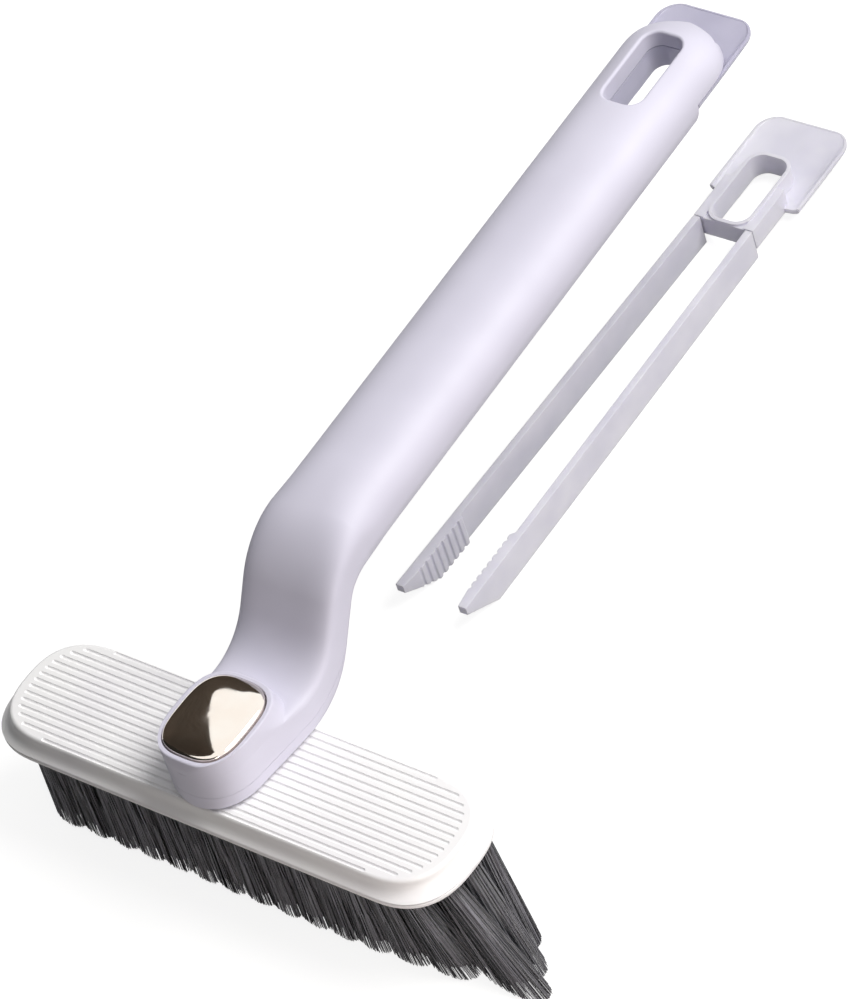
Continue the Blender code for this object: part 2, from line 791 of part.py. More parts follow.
def make_clip_cap(name, material, parent):
    """Dished tray that closes the handle's tail, with the ring round the hang hole and the arm roots."""
    steps = 2 * end_steps
    start = clip_end - tray_rise_length
    far = [start + tray_rise_length * math.sin(math.pi / 2 * i / steps) for i in range(steps + 1)]
    tray = tray_solid([cap_front] + far, 0.0, tray_depth, tray_end_depth, tray_power, -gap / 4)
    cap = make_object(name, tray, material, parent, crease_angle)
    inner = [cap_front - overrun] + [u for u in far if u < start + dish_end_share * tray_rise_length]
    dish = tray_solid(inner, dish_wall, tray_dish, 0.0, dish_power, overrun)
    boolean(cap, make_cutter(name + "_dish", dish, parent))

    low = -tray_depth
    boolean(cap, slot(name + "_ring", ring_wall, low, ring_top, parent), 'UNION')
    for side in (-1, 1):
        inner_x, outer_x = side * (ring_half_x - ring_wall / 2), side * arm_outer
        rail = box((min(inner_x, outer_x), arm_root + gap, low),
                   (max(inner_x, outer_x), cap_front + rail_overlap, arm_height - arm_drop))
        boolean(cap, make_cutter(name + "_rail", rail, parent), 'UNION')
    web = box((-ring_half_x, arm_root + gap, low),
              (ring_half_x, arm_root + 2 * web_length, ring_top - web_drop))
    boolean(cap, make_cutter(name + "_web", web, parent), 'UNION')
    boolean(cap, slot(name + "_hole", 0.0, -2 * grip_half_height, grip_half_height, parent))
    return cap


def make_clip_arm(name, inward, material, parent):
    """Long spring arm from its hinge to a bevelled tip, with teeth on the jaw's inner face."""
    outer = -inward * arm_thickness / 2
    inner = inward * arm_thickness / 2
    jaw = inner + inward * jaw_thickness
    jaw_start = -(arm_reach - jaw_length)
    pitch = (jaw_length - tip_bevel_length / 2) / jaw_tooth_count
    outline = [(outer, 0.0), (inner, 0.0), (inner, jaw_start + jaw_thickness), (jaw, jaw_start)]
    for i in range(jaw_tooth_count):
        u = jaw_start - i * pitch
        outline += [(jaw, u - pitch / 2), (jaw - inward * jaw_tooth_depth, u - pitch / 2 - pitch / 8),
                    (jaw - inward * jaw_tooth_depth, u - pitch + pitch / 8), (jaw, u - pitch)]
    outline += [(inner + inward * jaw_thickness / 3, -arm_reach), (outer, -arm_reach)]
    arm = prism(outline, -arm_drop, arm_height - arm_drop)
    arm = make_object(name, arm, material, parent, crease_angle)
    side = 2 * (arm_thickness + jaw_thickness)
    under = -arm_drop - overrun
    slope = (arm_height - tip_height) / tip_bevel_length
    wedge = [(-arm_reach - overrun, under), (-arm_reach + tip_bevel_length + overrun / slope, under),
             (-arm_reach - overrun, arm_height - arm_drop - tip_height + overrun * slope)]
    rings = [[(x, u, w) for u, w in wedge] for x in (-side, side)]
    boolean(arm, make_cutter(name + "_bevel", loft(rings), parent))
    return arm


def make_clip(prefix, material, frame, splay):
    """One whole clip in its frame; each arm hangs from an empty on its hinge."""
    make_clip_cap(prefix + "clip_cap", material, frame)
    hinge_x = arm_outer - arm_thickness / 2
    for side, inward in (("left", 1), ("right", -1)):
        hinge = make_empty(prefix + side + "_arm_hinge", (-inward * hinge_x, arm_root, 0.0), frame,
                           (0.0, 0.0, -inward * splay))
        make_clip_arm(prefix + "clip_" + side + "_arm", inward, material, hinge)


def spare_frame():
    """Frame of the spare clip, which lies on its arms' lower edges."""
    place = (spare_shift_x, grip_corner().x + spare_shift_y, floor_z + arm_drop)
    return make_empty("spare_clip_frame", place, brush, (0.0, 0.0, spare_yaw))


def stand_on_origin():
    """Move the whole brush so that the origin is under the middle of its bounding box."""
    bpy.context.view_layer.update()
    graph = bpy.context.evaluated_depsgraph_get()
    low, high = Vector((1, 1, 1)), Vector((-1, -1, -1))
    for obj in bpy.context.scene.objects:
        if obj.type == 'EMPTY' or obj.hide_render:
            continue
        seen = obj.evaluated_get(graph)
        mesh = seen.to_mesh()
        for vertex in mesh.vertices:
            place = obj.matrix_world @ vertex.co
            low = Vector(map(min, low, place))
            high = Vector(map(max, high, place))
        seen.to_mesh_clear()
    brush.location = (-(low.x + high.x) / 2, -(low.y + high.y) / 2, -low.z)
    print("brush shift (m):", tuple(round(value, 6) for value in brush.location))
    print("size (m):", tuple(round(value, 6) for value in high - low))


foot_bottom = foot_height - foot_half_height
foot_seam = foot_height - foot_half_height * foot_seam_share
boss_top = foot_height + foot_half_height
rim_top = boss_top + rim_rise
cap_seat = rim_top - cap_skirt - gap
chamber_radius = washer_radius + gap
shell_screw_top = foot_bottom + shell_screw_head_height + shell_screw_length

start_clean()
white = make_material("white_plastic", (0.86, 0.85, 0.90), 0.35)
dark = make_material("dark_bristle", (0.055, 0.053, 0.06), 0.6)
bronze = make_material("bronze_mirror", (0.55, 0.45, 0.36), 0.12, 1.0)
steel = make_material("zinc_steel", (0.60, 0.60, 0.62), 0.35, 1.0)
grey = make_material("grey_plastic", (0.45, 0.45, 0.48), 0.4)
violet = make_material("violet_plastic", (0.62, 0.60, 0.72), 0.25)

brush = make_empty("brush")
handle = make_empty("handle_frame", parent=brush)
head = make_empty("head_pivot", parent=brush)
corner = grip_corner()
grip = make_empty("grip_frame", (0.0, corner.x, corner.y), handle, (grip_angle, 0.0, 0.0))
clip = make_empty("clip_frame", (0.0, 0.0, 0.0), grip)

make_upper_shell(white, handle, grip)
make_lower_shell(white, handle, grip)
make_pivot_cap(bronze, handle)
make_shell_screws(steel, handle)
make_plate(white, head)
make_block(white, head)
for row, row_name in enumerate(("front_bristle_row", "mid_front_bristle_row", "mid_back_bristle_row",
                                "back_bristle_row")):
    make_bristle_row(row_name, row, dark, head)
make_pivot_parts(grey, steel, head, handle)
make_clip("", violet, clip, 0.0)
make_clip("spare_", violet, spare_frame(), spare_splay)
stand_on_origin()
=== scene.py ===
import json
import math
import random

import bmesh
import bpy
from mathutils import Matrix, Vector


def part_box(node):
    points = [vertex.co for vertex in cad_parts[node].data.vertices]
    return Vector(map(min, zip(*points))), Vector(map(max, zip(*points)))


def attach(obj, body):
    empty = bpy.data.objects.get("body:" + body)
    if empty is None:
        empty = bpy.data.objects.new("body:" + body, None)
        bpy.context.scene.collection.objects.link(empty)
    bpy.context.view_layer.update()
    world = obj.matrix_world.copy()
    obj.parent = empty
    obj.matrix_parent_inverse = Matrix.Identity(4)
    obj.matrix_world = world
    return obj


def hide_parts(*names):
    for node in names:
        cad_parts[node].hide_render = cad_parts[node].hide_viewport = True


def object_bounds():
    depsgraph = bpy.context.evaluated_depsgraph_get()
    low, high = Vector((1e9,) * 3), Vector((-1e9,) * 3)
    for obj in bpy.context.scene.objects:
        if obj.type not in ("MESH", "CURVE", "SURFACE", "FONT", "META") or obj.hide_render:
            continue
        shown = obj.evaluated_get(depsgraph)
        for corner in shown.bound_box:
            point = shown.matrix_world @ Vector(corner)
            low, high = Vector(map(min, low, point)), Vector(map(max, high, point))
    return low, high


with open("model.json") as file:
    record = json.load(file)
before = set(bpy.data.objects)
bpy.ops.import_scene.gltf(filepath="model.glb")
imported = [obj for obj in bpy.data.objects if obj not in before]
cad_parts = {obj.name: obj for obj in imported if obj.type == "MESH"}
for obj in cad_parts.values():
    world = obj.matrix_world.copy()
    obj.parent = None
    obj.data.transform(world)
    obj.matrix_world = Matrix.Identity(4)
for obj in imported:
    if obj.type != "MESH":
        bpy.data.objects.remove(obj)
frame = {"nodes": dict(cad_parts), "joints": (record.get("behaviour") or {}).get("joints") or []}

mm = 0.001
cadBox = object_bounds()
joints = {joint["name"]: joint for joint in frame["joints"]}
pivot = Vector(joints["head_turn"]["pos_m"])  # top of the head's plate, on the axis that the head turns about
pivot.x = sum(corner.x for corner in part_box("head_top_plate")) / 2
scene = bpy.context.scene
print("frame loaded")


# Helpers for shapes

def ease(value):
    # smooth step from 0 to 1
    value = min(max(value, 0.0), 1.0)
    return value * value * (3 - 2 * value)


def quarterTurn(steps):
    # sine and cosine of even steps through a quarter turn
    return [(math.sin(math.pi / 2 * i / steps), math.cos(math.pi / 2 * i / steps)) for i in range(steps + 1)]


def superOval(halfX, halfY, power, count, centre=(0, 0)):
    # outline between an ellipse and a rectangle
    points = []
    for i in range(count):
        angle = 2 * math.pi * i / count
        cos, sin = math.cos(angle), math.sin(angle)
        points.append((centre[0] + halfX * math.copysign(abs(cos) ** (2 / power), cos),
                       centre[1] + halfY * math.copysign(abs(sin) ** (2 / power), sin)))
    return points


def roundedBox(halfX, halfY, radius, centre=(0, 0), steps=10):
    # outline of a rectangle with round corners
    points = []
    for corner, (sx, sy) in enumerate(((1, 1), (-1, 1), (-1, -1), (1, -1))):
        for i in range(steps + 1):
            angle = (corner + i / steps) * math.pi / 2
            points.append((centre[0] + sx * (halfX - radius) + radius * math.cos(angle),
                           centre[1] + sy * (halfY - radius) + radius * math.sin(angle)))
    return points


def lift(outline, z):
    # outline as a ring at one height
    return [(x, y, z) for x, y in outline]


def drawThrough(rings):
    # closed solid: a disc is extruded from each ring of points to the next
    bm = bmesh.new()
    made = bmesh.ops.create_circle(bm, cap_ends=True, segments=len(rings[0]), radius=mm)
    face = made["verts"][0].link_faces[0]
    for loop, point in zip(face.loops, rings[0]):
        loop.vert.co = point
    for i, ring in enumerate(rings[1:]):
        made = bmesh.ops.extrude_face_region(bm, geom=[face])
        if i:
            bmesh.ops.delete(bm, geom=[face], context="FACES_ONLY")
        face = next(item for item in made["geom"] if isinstance(item, bmesh.types.BMFace))
        for loop, point in zip(face.loops, ring):
            loop.vert.co = point
    bmesh.ops.recalc_face_normals(bm, faces=bm.faces)
    return bm


def prism(outline, low, high):
    # upright solid over an outline
    return drawThrough([lift(outline, z) for z in (low, high)])


def block(low, high):
    # plain box between two corners
    bm = bmesh.new()
    size = [h - l for l, h in zip(low, high)]
    middle = [(h + l) / 2 for l, h in zip(low, high)]
    bmesh.ops.create_cube(bm, size=1, matrix=Matrix.Translation(middle) @ Matrix.Diagonal((*size, 1)))
    return bm


def rod(radius, low, high, centre=(0, 0), segments=48):
    # upright round bar
    bm = bmesh.new()
    place = Matrix.Translation((centre[0], centre[1], (low + high) / 2))
    bmesh.ops.create_cone(bm, cap_ends=True, segments=segments, radius1=radius, radius2=radius,
                          depth=high - low, matrix=place)
    return bm


def solid(name, bm, place):
    # object at the origin whose mesh is set in its place
    bmesh.ops.transform(bm, matrix=place, verts=bm.verts)
    mesh = bpy.data.meshes.new(name)
    bm.to_mesh(mesh)
    bm.free()
    piece = bpy.data.objects.new(name, mesh)
    scene.collection.objects.link(piece)
    return piece


def carve(piece, tool, place=None, how="DIFFERENCE"):
    # cut with a tool or join it, and keep plain mesh; the tool is an object, or a shape to set in place
    if place:
        tool = solid("tool", tool, place)
    cut = piece.modifiers.new("carve", "BOOLEAN")
    cut.operation = how
    cut.object = tool
    settle(piece)
    bpy.data.objects.remove(tool)


def settle(piece):
    # apply the modifiers
    bpy.context.view_layer.update()
    made = bpy.data.meshes.new_from_object(piece.evaluated_get(bpy.context.evaluated_depsgraph_get()))
    piece.modifiers.clear()
    old = piece.data
    piece.data = made
    made.name = piece.name
    bpy.data.meshes.remove(old)


def soften(piece, width, segments=2, above=40):
    # small round on the sharp edges, as a mould leaves
    bevel = piece.modifiers.new("soften", "BEVEL")
    bevel.width = width
    bevel.segments = segments
    bevel.limit_method = "ANGLE"
    bevel.angle_limit = math.radians(above)
    bevel.use_clamp_overlap = True
    settle(piece)


def dress(piece, material, body, nodes=(), sharpAngle=34):
    # finish, shading, and what the piece rides on and stands for
    piece.data.materials.clear()
    piece.data.materials.append(material)
    piece.data.shade_smooth()
    piece.data.set_sharp_from_angle(angle=math.radians(sharpAngle))
    weighted = piece.modifiers.new("evenShading", "WEIGHTED_NORMAL")
    weighted.keep_sharp = True
    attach(piece, body)
    if nodes:
        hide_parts(*nodes)
    return piece


# Helpers for materials

def linear(hexColour):
    # sRGB hex to the linear colour that the sockets take
    channels = [int(hexColour[i:i + 2], 16) / 255 for i in (1, 3, 5)]
    return [c / 12.92 if c <= 0.04045 else ((c + 0.055) / 1.055) ** 2.4 for c in channels] + [1.0]


def addNode(tree, kind, settings=None, links=None):
    # one node with its settings, its inputs joined to what feeds them
    node = tree.nodes.new("ShaderNode" + kind)
    for name, value in (settings or {}).items():
        if isinstance(name, int) or name in node.inputs:
            node.inputs[name].default_value = value
        else:
            setattr(node, name, value)
    for name, source in (links or {}).items():
        tree.links.new(source, node.inputs[name])
    return node


def newMaterial(name, settings):
    # material with one Principled shader and its constants on its own sockets
    material = bpy.data.materials.new(name)
    material.use_nodes = True
    tree = material.node_tree
    shader = tree.nodes["Principled BSDF"]
    for socket, value in settings.items():
        shader.inputs[socket].default_value = value
    place = addNode(tree, "TexCoord").outputs["Object"]
    return material, tree, shader, place


def tone(tree, place, size, light, dark, detail=2.0):
    # cloudy drift between two tones, its patches about size across
    cloud = addNode(tree, "TexNoise", {"Scale": 1 / size, "Detail": detail}, {"Vector": place})
    share = addNode(tree, "MapRange", {"From Min": 0.35, "From Max": 0.65}, {"Value": cloud.outputs[0]})
    return addNode(tree, "Mix", {"data_type": "RGBA", 6: linear(light), 7: linear(dark)},
                   {0: share.outputs[0]}).outputs[2]


def grain(tree, place, size, depth, strength):
    # fine even bump, its grains about size across
    specks = addNode(tree, "TexNoise", {"Scale": 1 / size, "Detail": 3.0}, {"Vector": place})
    return addNode(tree, "Bump", {"Strength": strength, "Distance": depth},
                   {"Height": specks.outputs[0]}).outputs[0]


def spread(tree, place, size, low, high):
    # roughness that drifts between two values
    cloud = addNode(tree, "TexNoise", {"Scale": 1 / size, "Detail": 2.0}, {"Vector": place})
    return addNode(tree, "MapRange", {"From Min": 0.3, "From Max": 0.7, "To Min": low, "To Max": high},
                   {"Value": cloud.outputs[0]}).outputs[0]


# Finishes: the two tones of each material and the sizes of its patterns
finishes = {
    # the grip's two tones are the head's white ABS made darker and violet: painted shade and a painted violet
    # reflection
    "gripPaintedShadeLight": "#d7d5e5", "gripPaintedShadeDark": "#d2d0e0", "headLight": "#fafafb", "headDark": "#f6f5f8",
    "absPatch": 26 * mm, "absGrain": 0.5 * mm,
    "clipLight": "#bbb9cd", "clipDark": "#b3b1c6", "clipPatch": 14 * mm,
    "spareLight": "#dfdee9", "spareDark": "#d5d4e1",
    "nylonLight": "#7d7c84", "nylonDark": "#75747c", "nylonStep": 0.9 * mm,
    "bronzeLight": "#fff9f0", "bronzeDark": "#fdf3e8", "bronzePatch": 9 * mm,
    "acetalLight": "#b9b8bd", "acetalDark": "#a8a7ad",
    "zincLight": "#c6c6c9", "zincDark": "#a9a9ad",
}


def feed(tree, shader, colour, roughness, normal=None):
    # join the patterns to the shader
    for socket, source in (("Base Color", colour), ("Roughness", roughness), ("Normal", normal)):
        if source:
            tree.links.new(source, shader.inputs[socket])


def makeAbs(name, light, dark):
    # Moulded ABS, satin from a fine eroded mould: near white, with soft wide highlights
    material, tree, shader, place = newMaterial(name, {
        "IOR": 1.47, "Coat Weight": 0.04, "Coat Roughness": 0.35})
    feed(tree, shader, tone(tree, place, finishes["absPatch"], light, dark),
         spread(tree, place, 9 * mm, 0.48, 0.58), grain(tree, place, finishes["absGrain"], 0.02 * mm, 0.12))
    return material


def makePolypropylene(name, light, dark, depth):
    # Moulded polypropylene: waxy and slightly clear, so light spreads a few millimetres inside it
    material, tree, shader, place = newMaterial(name, {
        "IOR": 1.49, "Subsurface Weight": depth, "Subsurface Radius": (1.0, 0.95, 1.1),
        "Subsurface Scale": 2.2 * mm, "Coat Weight": 0.15, "Coat Roughness": 0.15})
    feed(tree, shader, tone(tree, place, finishes["clipPatch"], light, dark),
         spread(tree, place, 6 * mm, 0.28, 0.4), grain(tree, place, 1.4 * mm, 0.03 * mm, 0.18))
    return material


def makeNylon():
    # Drawn nylon filament: dark grey, each strand its own tone, with a dull sheen along it
    material, tree, shader, place = newMaterial("nylonFilament", {
        "IOR": 1.53, "Sheen Weight": 0.15, "Sheen Roughness": 0.4})
    flat = addNode(tree, "Mapping", {"Scale": (1, 1, 0.12)}, {"Vector": place}).outputs[0]
    feed(tree, shader, tone(tree, flat, finishes["nylonStep"], finishes["nylonLight"], finishes["nylonDark"], 3.0),
         spread(tree, flat, 2 * mm, 0.55, 0.7))
    return material


def makeBronze():
    # Vacuum plated ABS: a mirror with a warm bronze tint and the faint ripple of the moulding below
    material, tree, shader, place = newMaterial("bronzePlating", {"Metallic": 1.0})
    feed(tree, shader, tone(tree, place, finishes["bronzePatch"], finishes["bronzeLight"], finishes["bronzeDark"]),
         spread(tree, place, 3 * mm, 0.05, 0.09), grain(tree, place, 5 * mm, 0.05 * mm, 0.1))
    return material


def makeAcetal():
    # Turned and moulded acetal: grey, slick, nearly matte
    material, tree, shader, place = newMaterial("greyAcetal", {"IOR": 1.48})
    feed(tree, shader, tone(tree, place, 4 * mm, finishes["acetalLight"], finishes["acetalDark"]),
         spread(tree, place, 2 * mm, 0.42, 0.55))
    return material


def makeZinc():
    # Zinc plated steel: bright grey with a soft crystalline drift
    material, tree, shader, place = newMaterial("zincPlatedSteel", {"Metallic": 1.0})
    feed(tree, shader, tone(tree, place, 1.5 * mm, finishes["zincLight"], finishes["zincDark"]),
         spread(tree, place, 1 * mm, 0.22, 0.38))
    return material


# the handle's ABS is the head's white ABS darkened and tinted violet: painted shade and a painted violet
# reflection
paintedShadeGripAbs = makeAbs("whiteAbsPaintedShadeAndVioletReflection", finishes["gripPaintedShadeLight"], finishes["gripPaintedShadeDark"])
headAbs = makeAbs("neutralWhiteAbs", finishes["headLight"], finishes["headDark"])
clipPlastic = makePolypropylene("violetPolypropylene", finishes["clipLight"], finishes["clipDark"], 0.25)
sparePlastic = makePolypropylene("palePolypropylene", finishes["spareLight"], finishes["spareDark"], 0.5)
nylon = makeNylon()
bronze = makeBronze()
acetal = makeAcetal()
zinc = makeZinc()
print("materials ready")


# Handle: a spine over the pivot, up the neck and along the grip, with a section that changes along it
handle = {
    "footHeight": 8.6 * mm, "footFront": 17.4 * mm, "neckCornerY": 27.7 * mm, "neckAngle": math.radians(57),
    "neckLowerRadius": 22 * mm, "neckThinning": 1.6, "neckUpperRadius": 18 * mm, "gripAngle": math.radians(3.4),
    "gripCornerHeight": 32.8 * mm, "gripEndY": 234 * mm, "gripHalfWidth": 15 * mm, "gripHalfHeight": 10.5 * mm,
    "neckHalfHeight": 5.6 * mm, "footHalfHeight": 8.2 * mm, "shoulderHalfHeight": 4.4 * mm, "footDraft": 0.03,
    "footTaper": 0.095, "gripPower": 2.35, "neckPower": 5.0, "footPower": 9.0, "turretPower": 16.0,
    "footEndPower": 2.4, "tailEndPower": 2.6, "footRound": 13 * mm, "tailRound": 15 * mm,
    "tailDrop": 5.3 * mm, "tailDropPower": 2.5, "footSeam": 0.42, "gripSeam": 0.6, "deepestSeam": 0.95,
    "gripGrowth": 24 * mm, "endFlat": 0.8 * mm, "hollowStartY": 21 * mm, "seamGap": 0.05 * mm,
    "wall": 1.8 * mm, "gap": 0.3 * mm, "overrun": 1 * mm,
}
gap, overrun = handle["gap"], handle["overrun"]
cornerY = (handle["neckCornerY"]
           + (handle["gripCornerHeight"] - handle["footHeight"]) / math.tan(handle["neckAngle"]))
plateFrame = Matrix.Translation(pivot)
gripFrame = (plateFrame @ Matrix.Translation((0, cornerY, handle["gripCornerHeight"]))
             @ Matrix.Rotation(handle["gripAngle"], 4, "X"))


def alongGrip(y):
    # distance along the grip from its corner to a place y
    return (y - cornerY) / math.cos(handle["gripAngle"])


def gripBendY():
    # where the neck starts to bend over into the grip
    cut = handle["neckUpperRadius"] * math.tan((handle["neckAngle"] - handle["gripAngle"]) / 2)
    return cornerY - cut * math.cos(handle["neckAngle"])


def spineStations(fine):
    # stations along the handle, each a place (y, z) and the spine's angle there
    h = handle
    stations = []
    lowerCut = h["neckLowerRadius"] * math.tan(h["neckAngle"] / 2)
    upperCut = h["neckUpperRadius"] * math.tan((h["neckAngle"] - h["gripAngle"]) / 2)
    footStop = h["neckCornerY"] - lowerCut
    roundEnd = h["footRound"] - h["footFront"]
    endSteps, arcSteps, gripSteps = 6 * fine, 7 * fine, 7 * fine
    for _, cos in quarterTurn(endSteps):
        stations.append((Vector((roundEnd - h["footRound"] * cos, h["footHeight"])), 0.0))
    for i in range(1, 2 * fine):
        stations.append((Vector((roundEnd + (footStop - roundEnd) * i / (2 * fine), h["footHeight"])), 0.0))
    centre = Vector((footStop, h["footHeight"] + h["neckLowerRadius"]))
    for i in range(arcSteps + 1):
        angle = h["neckAngle"] * i / arcSteps
        stations.append((centre + h["neckLowerRadius"] * Vector((math.sin(angle), -math.cos(angle))), angle))
    upper = Vector((cornerY, h["gripCornerHeight"]))
    first = upper - upperCut * Vector((math.cos(h["neckAngle"]), math.sin(h["neckAngle"])))
    centre = first + h["neckUpperRadius"] * Vector((math.sin(h["neckAngle"]), -math.cos(h["neckAngle"])))
    for i in range(arcSteps + 1):
        angle = h["neckAngle"] - (h["neckAngle"] - h["gripAngle"]) * i / arcSteps
        stations.append((centre + h["neckUpperRadius"] * Vector((-math.sin(angle), math.cos(angle))), angle))
    last = stations[-1][0]
    tailStart = h["gripEndY"] - h["tailRound"]
    places = [last.x + (tailStart - last.x) * i / gripSteps for i in range(1, gripSteps + 1)]
    places += [tailStart + h["tailRound"] * sin for sin, _ in quarterTurn(endSteps)[1:]]
    for y in places:
        stations.append((Vector((y, last.y + (y - last.x) * math.tan(h["gripAngle"]))), h["gripAngle"]))
    return stations


def sectionAt(y, angle):
    # half width, then height and squareness below and above the spine, then draft and seam height
    h = handle
    footStop = h["neckCornerY"] - h["neckLowerRadius"] * math.tan(h["neckAngle"] / 2)
    turn = ease(angle / h["neckAngle"]) if y < gripBendY() else 1.0
    toNeck = turn ** h["neckThinning"]
    toShoulder = max(toNeck, ease(y / footStop))
    past = ease((y - gripBendY()) / h["gripGrowth"])
    below = h["footHalfHeight"] + (h["neckHalfHeight"] - h["footHalfHeight"]) * toNeck
    above = h["shoulderHalfHeight"] + (h["neckHalfHeight"] - h["shoulderHalfHeight"]) * turn
    squareBelow = h["footPower"] + (h["neckPower"] - h["footPower"]) * toNeck
    squareAbove = h["turretPower"] + (h["neckPower"] - h["turretPower"]) * toShoulder
    seam = -below * (h["footSeam"] + (h["gripSeam"] - h["footSeam"]) * toNeck)
    seam += (-h["gripHalfHeight"] * h["gripSeam"] - seam) * past
    below, above = (height + (h["gripHalfHeight"] - height) * past for height in (below, above))
    squareBelow, squareAbove = (power + (h["gripPower"] - power) * past for power in (squareBelow, squareAbove))
    draft = h["footDraft"] * (1 - ease((y - footStop / 2) / footStop))
    halfWidth = h["gripHalfWidth"] - h["footTaper"] * max(footStop - y, 0.0)
    roundEnd = h["footRound"] - h["footFront"]
    tailStart = h["gripEndY"] - h["tailRound"]
    if y < roundEnd:
        share = (roundEnd - y) / h["footRound"]
        halfWidth *= max(1 - share ** h["footEndPower"], 0.0) ** (1 / h["footEndPower"])
    if y > tailStart:
        share = min((y - tailStart) / h["tailRound"], 1.0)
        halfWidth *= max(1 - share ** h["tailEndPower"], 0.0) ** (1 / h["tailEndPower"])
        below -= h["tailDrop"] * share ** h["tailDropPower"]
        above -= h["tailDrop"] * share ** h["tailDropPower"]
        seam = -below * h["gripSeam"]
    return halfWidth, below, above, squareBelow, squareAbove, draft, seam


def halfRing(place, angle, wall, side, seamGap, count):
    # upper (side 1) or lower (side -1) half of the section as a ring of points
    halfWidth, below, above, squareBelow, squareAbove, draft, seam = sectionAt(place.x, angle)
    halfWidth = max(halfWidth - wall, handle["endFlat"])
    level = side * seam + seamGap
    depth = min(abs(level / (below - wall)), handle["deepestSeam"])
    start = math.copysign(math.asin(depth ** (squareBelow / 2)), level)
    out = Vector((-math.sin(angle), math.cos(angle)))
    ring = []
    for i in range(count + 1):
        t = start + (math.pi - 2 * start) * i / count
        upper = side * math.sin(t) > 0
        height, power = (above, squareAbove) if upper else (below, squareBelow)
        x = halfWidth * math.copysign(abs(math.cos(t)) ** (2 / power), math.cos(t))
        w = side * (height - wall) * math.copysign(abs(math.sin(t)) ** (2 / power), math.sin(t))
        at = place + out * w
        ring.append((x * (1 - draft * w / handle["footHalfHeight"]), at.x, at.y))
    return ring


def shellOutside(side):
    return drawThrough([halfRing(place, angle, 0.0, side, handle["seamGap"], 56)
                        for place, angle in spineStations(3)])


def shellHollow(side):
    stations = spineStations(1)
    rings = []
    for (near, nearAngle), (far, farAngle) in zip(stations, stations[1:]):
        place, angle = (near + far) / 2, (nearAngle + farAngle) / 2
        if handle["hollowStartY"] < place.x < handle["gripEndY"] - handle["wall"]:
            rings.append(halfRing(place, angle, handle["wall"], side, -overrun, 20))
    return drawThrough(rings)


# Hang hole and tail of the handle, where the clip's cap and ring sit
tail = {
    "holeCentreY": 211.8 * mm, "holeHalfX": 6.2 * mm, "holeHalfY": 13.2 * mm, "holeRound": 4.2 * mm,
    "collarWall": 1.5 * mm, "collarDrop": 6 * mm, "lipRound": 1.0 * mm, "lowerEndY": 212.6 * mm,
    "slant": 0.2, "notchHalfWidth": 11 * mm, "notchLength": 8 * mm, "notchRoof": 3.5 * mm,
    "notchRound": 3 * mm, "clipEndY": 243.6 * mm,
}
holeCentre = alongGrip(tail["holeCentreY"])
capFront = alongGrip(tail["lowerEndY"])
clipEnd = alongGrip(tail["clipEndY"])
reach = 2 * handle["gripHalfWidth"]


def gripSurface(x, u):
    # height of the grip's top over its axis
    y = cornerY + u * math.cos(handle["gripAngle"])
    halfWidth, _, above, _, power, _, _ = sectionAt(y, handle["gripAngle"])
    share = min(abs(x) / halfWidth, 1.0)
    return above * (1 - share ** power) ** (1 / power)


def slotOutline(grow):
    return roundedBox(tail["holeHalfX"] + grow, tail["holeHalfY"] + grow, tail["holeRound"] + grow,
                      (0, holeCentre))


def lippedHole():
    # cutter for the hang hole, flared at the top so that its lip is rolled
    radius = tail["lipRound"]
    rings = [[(x, u, 0.0) for x, u in slotOutline(0.0)]]
    for i in range(7):
        angle = math.radians(75) * i / 6
        grow = radius * (1 - math.cos(angle))
        rings.append([(x, u, gripSurface(x, u) - radius * (1 - math.sin(angle))) for x, u in slotOutline(grow)])
    onward = 2 * radius
    grow = radius * (1 - math.cos(angle)) + onward * math.sin(angle)
    rings.append([(x, u, gripSurface(x, u) - radius * (1 - math.sin(angle)) + onward * math.cos(angle))
                  for x, u in slotOutline(grow)])
    rings.append([(x, u, handle["gripHalfHeight"] + 3 * radius) for x, u in slotOutline(grow)])
    return drawThrough(rings)


def tailWedge(top):
    # room behind the slanted end of the handle's underside
    front = capFront - gap
    side = [(front, top), (clipEnd + reach, top), (clipEnd + reach, -reach),
            (front - tail["slant"] * reach, -reach), (front, 0.0)]
    return drawThrough([[(x, u, w) for u, w in side] for x in (-reach, reach)])


# Pivot in the boss: its mirror cap, the raised rim round it and what turns below
boss = {
    "capCentreY": -1.6 * mm, "capHalfX": 11 * mm, "capHalfY": 13.4 * mm, "capPower": 3.0, "capSkirt": 2.4 * mm,
    "capDome": 2.0 * mm, "capProud": 0.2 * mm, "rimWidth": 1.5 * mm, "rimRise": 0.8 * mm, "rimRound": 0.6 * mm,
    "rimFoot": 2.6 * mm, "rimDrop": 4.6 * mm, "rimFlare": 2.2, "wallSkin": 0.06 * mm,
    "mouthEase": 0.35 * mm, "capKnee": 0.71,
    "washerRadius": 6.6 * mm, "screwHeadRadius": 3.2 * mm, "postRadius": 4.0 * mm,
    "shellScrewX": 9.6 * mm, "shellScrewY": 4.0 * mm, "shellScrewRadius": 1.1 * mm,
    "shellScrewHead": 2.0 * mm, "shellScrewHeadHeight": 1.1 * mm, "shellScrewLength": 7.0 * mm,
}
bossTop = handle["footHeight"] + handle["footHalfHeight"]
footBottom = handle["footHeight"] - handle["footHalfHeight"]
footSeam = handle["footHeight"] - handle["footHalfHeight"] * handle["footSeam"]
rimTop = bossTop + boss["rimRise"]
capSeat = rimTop - boss["capSkirt"] - gap


def capOutline(grow, count=96):
    return superOval(boss["capHalfX"] + grow, boss["capHalfY"] + grow, boss["capPower"], count,
                     (0, boss["capCentreY"]))


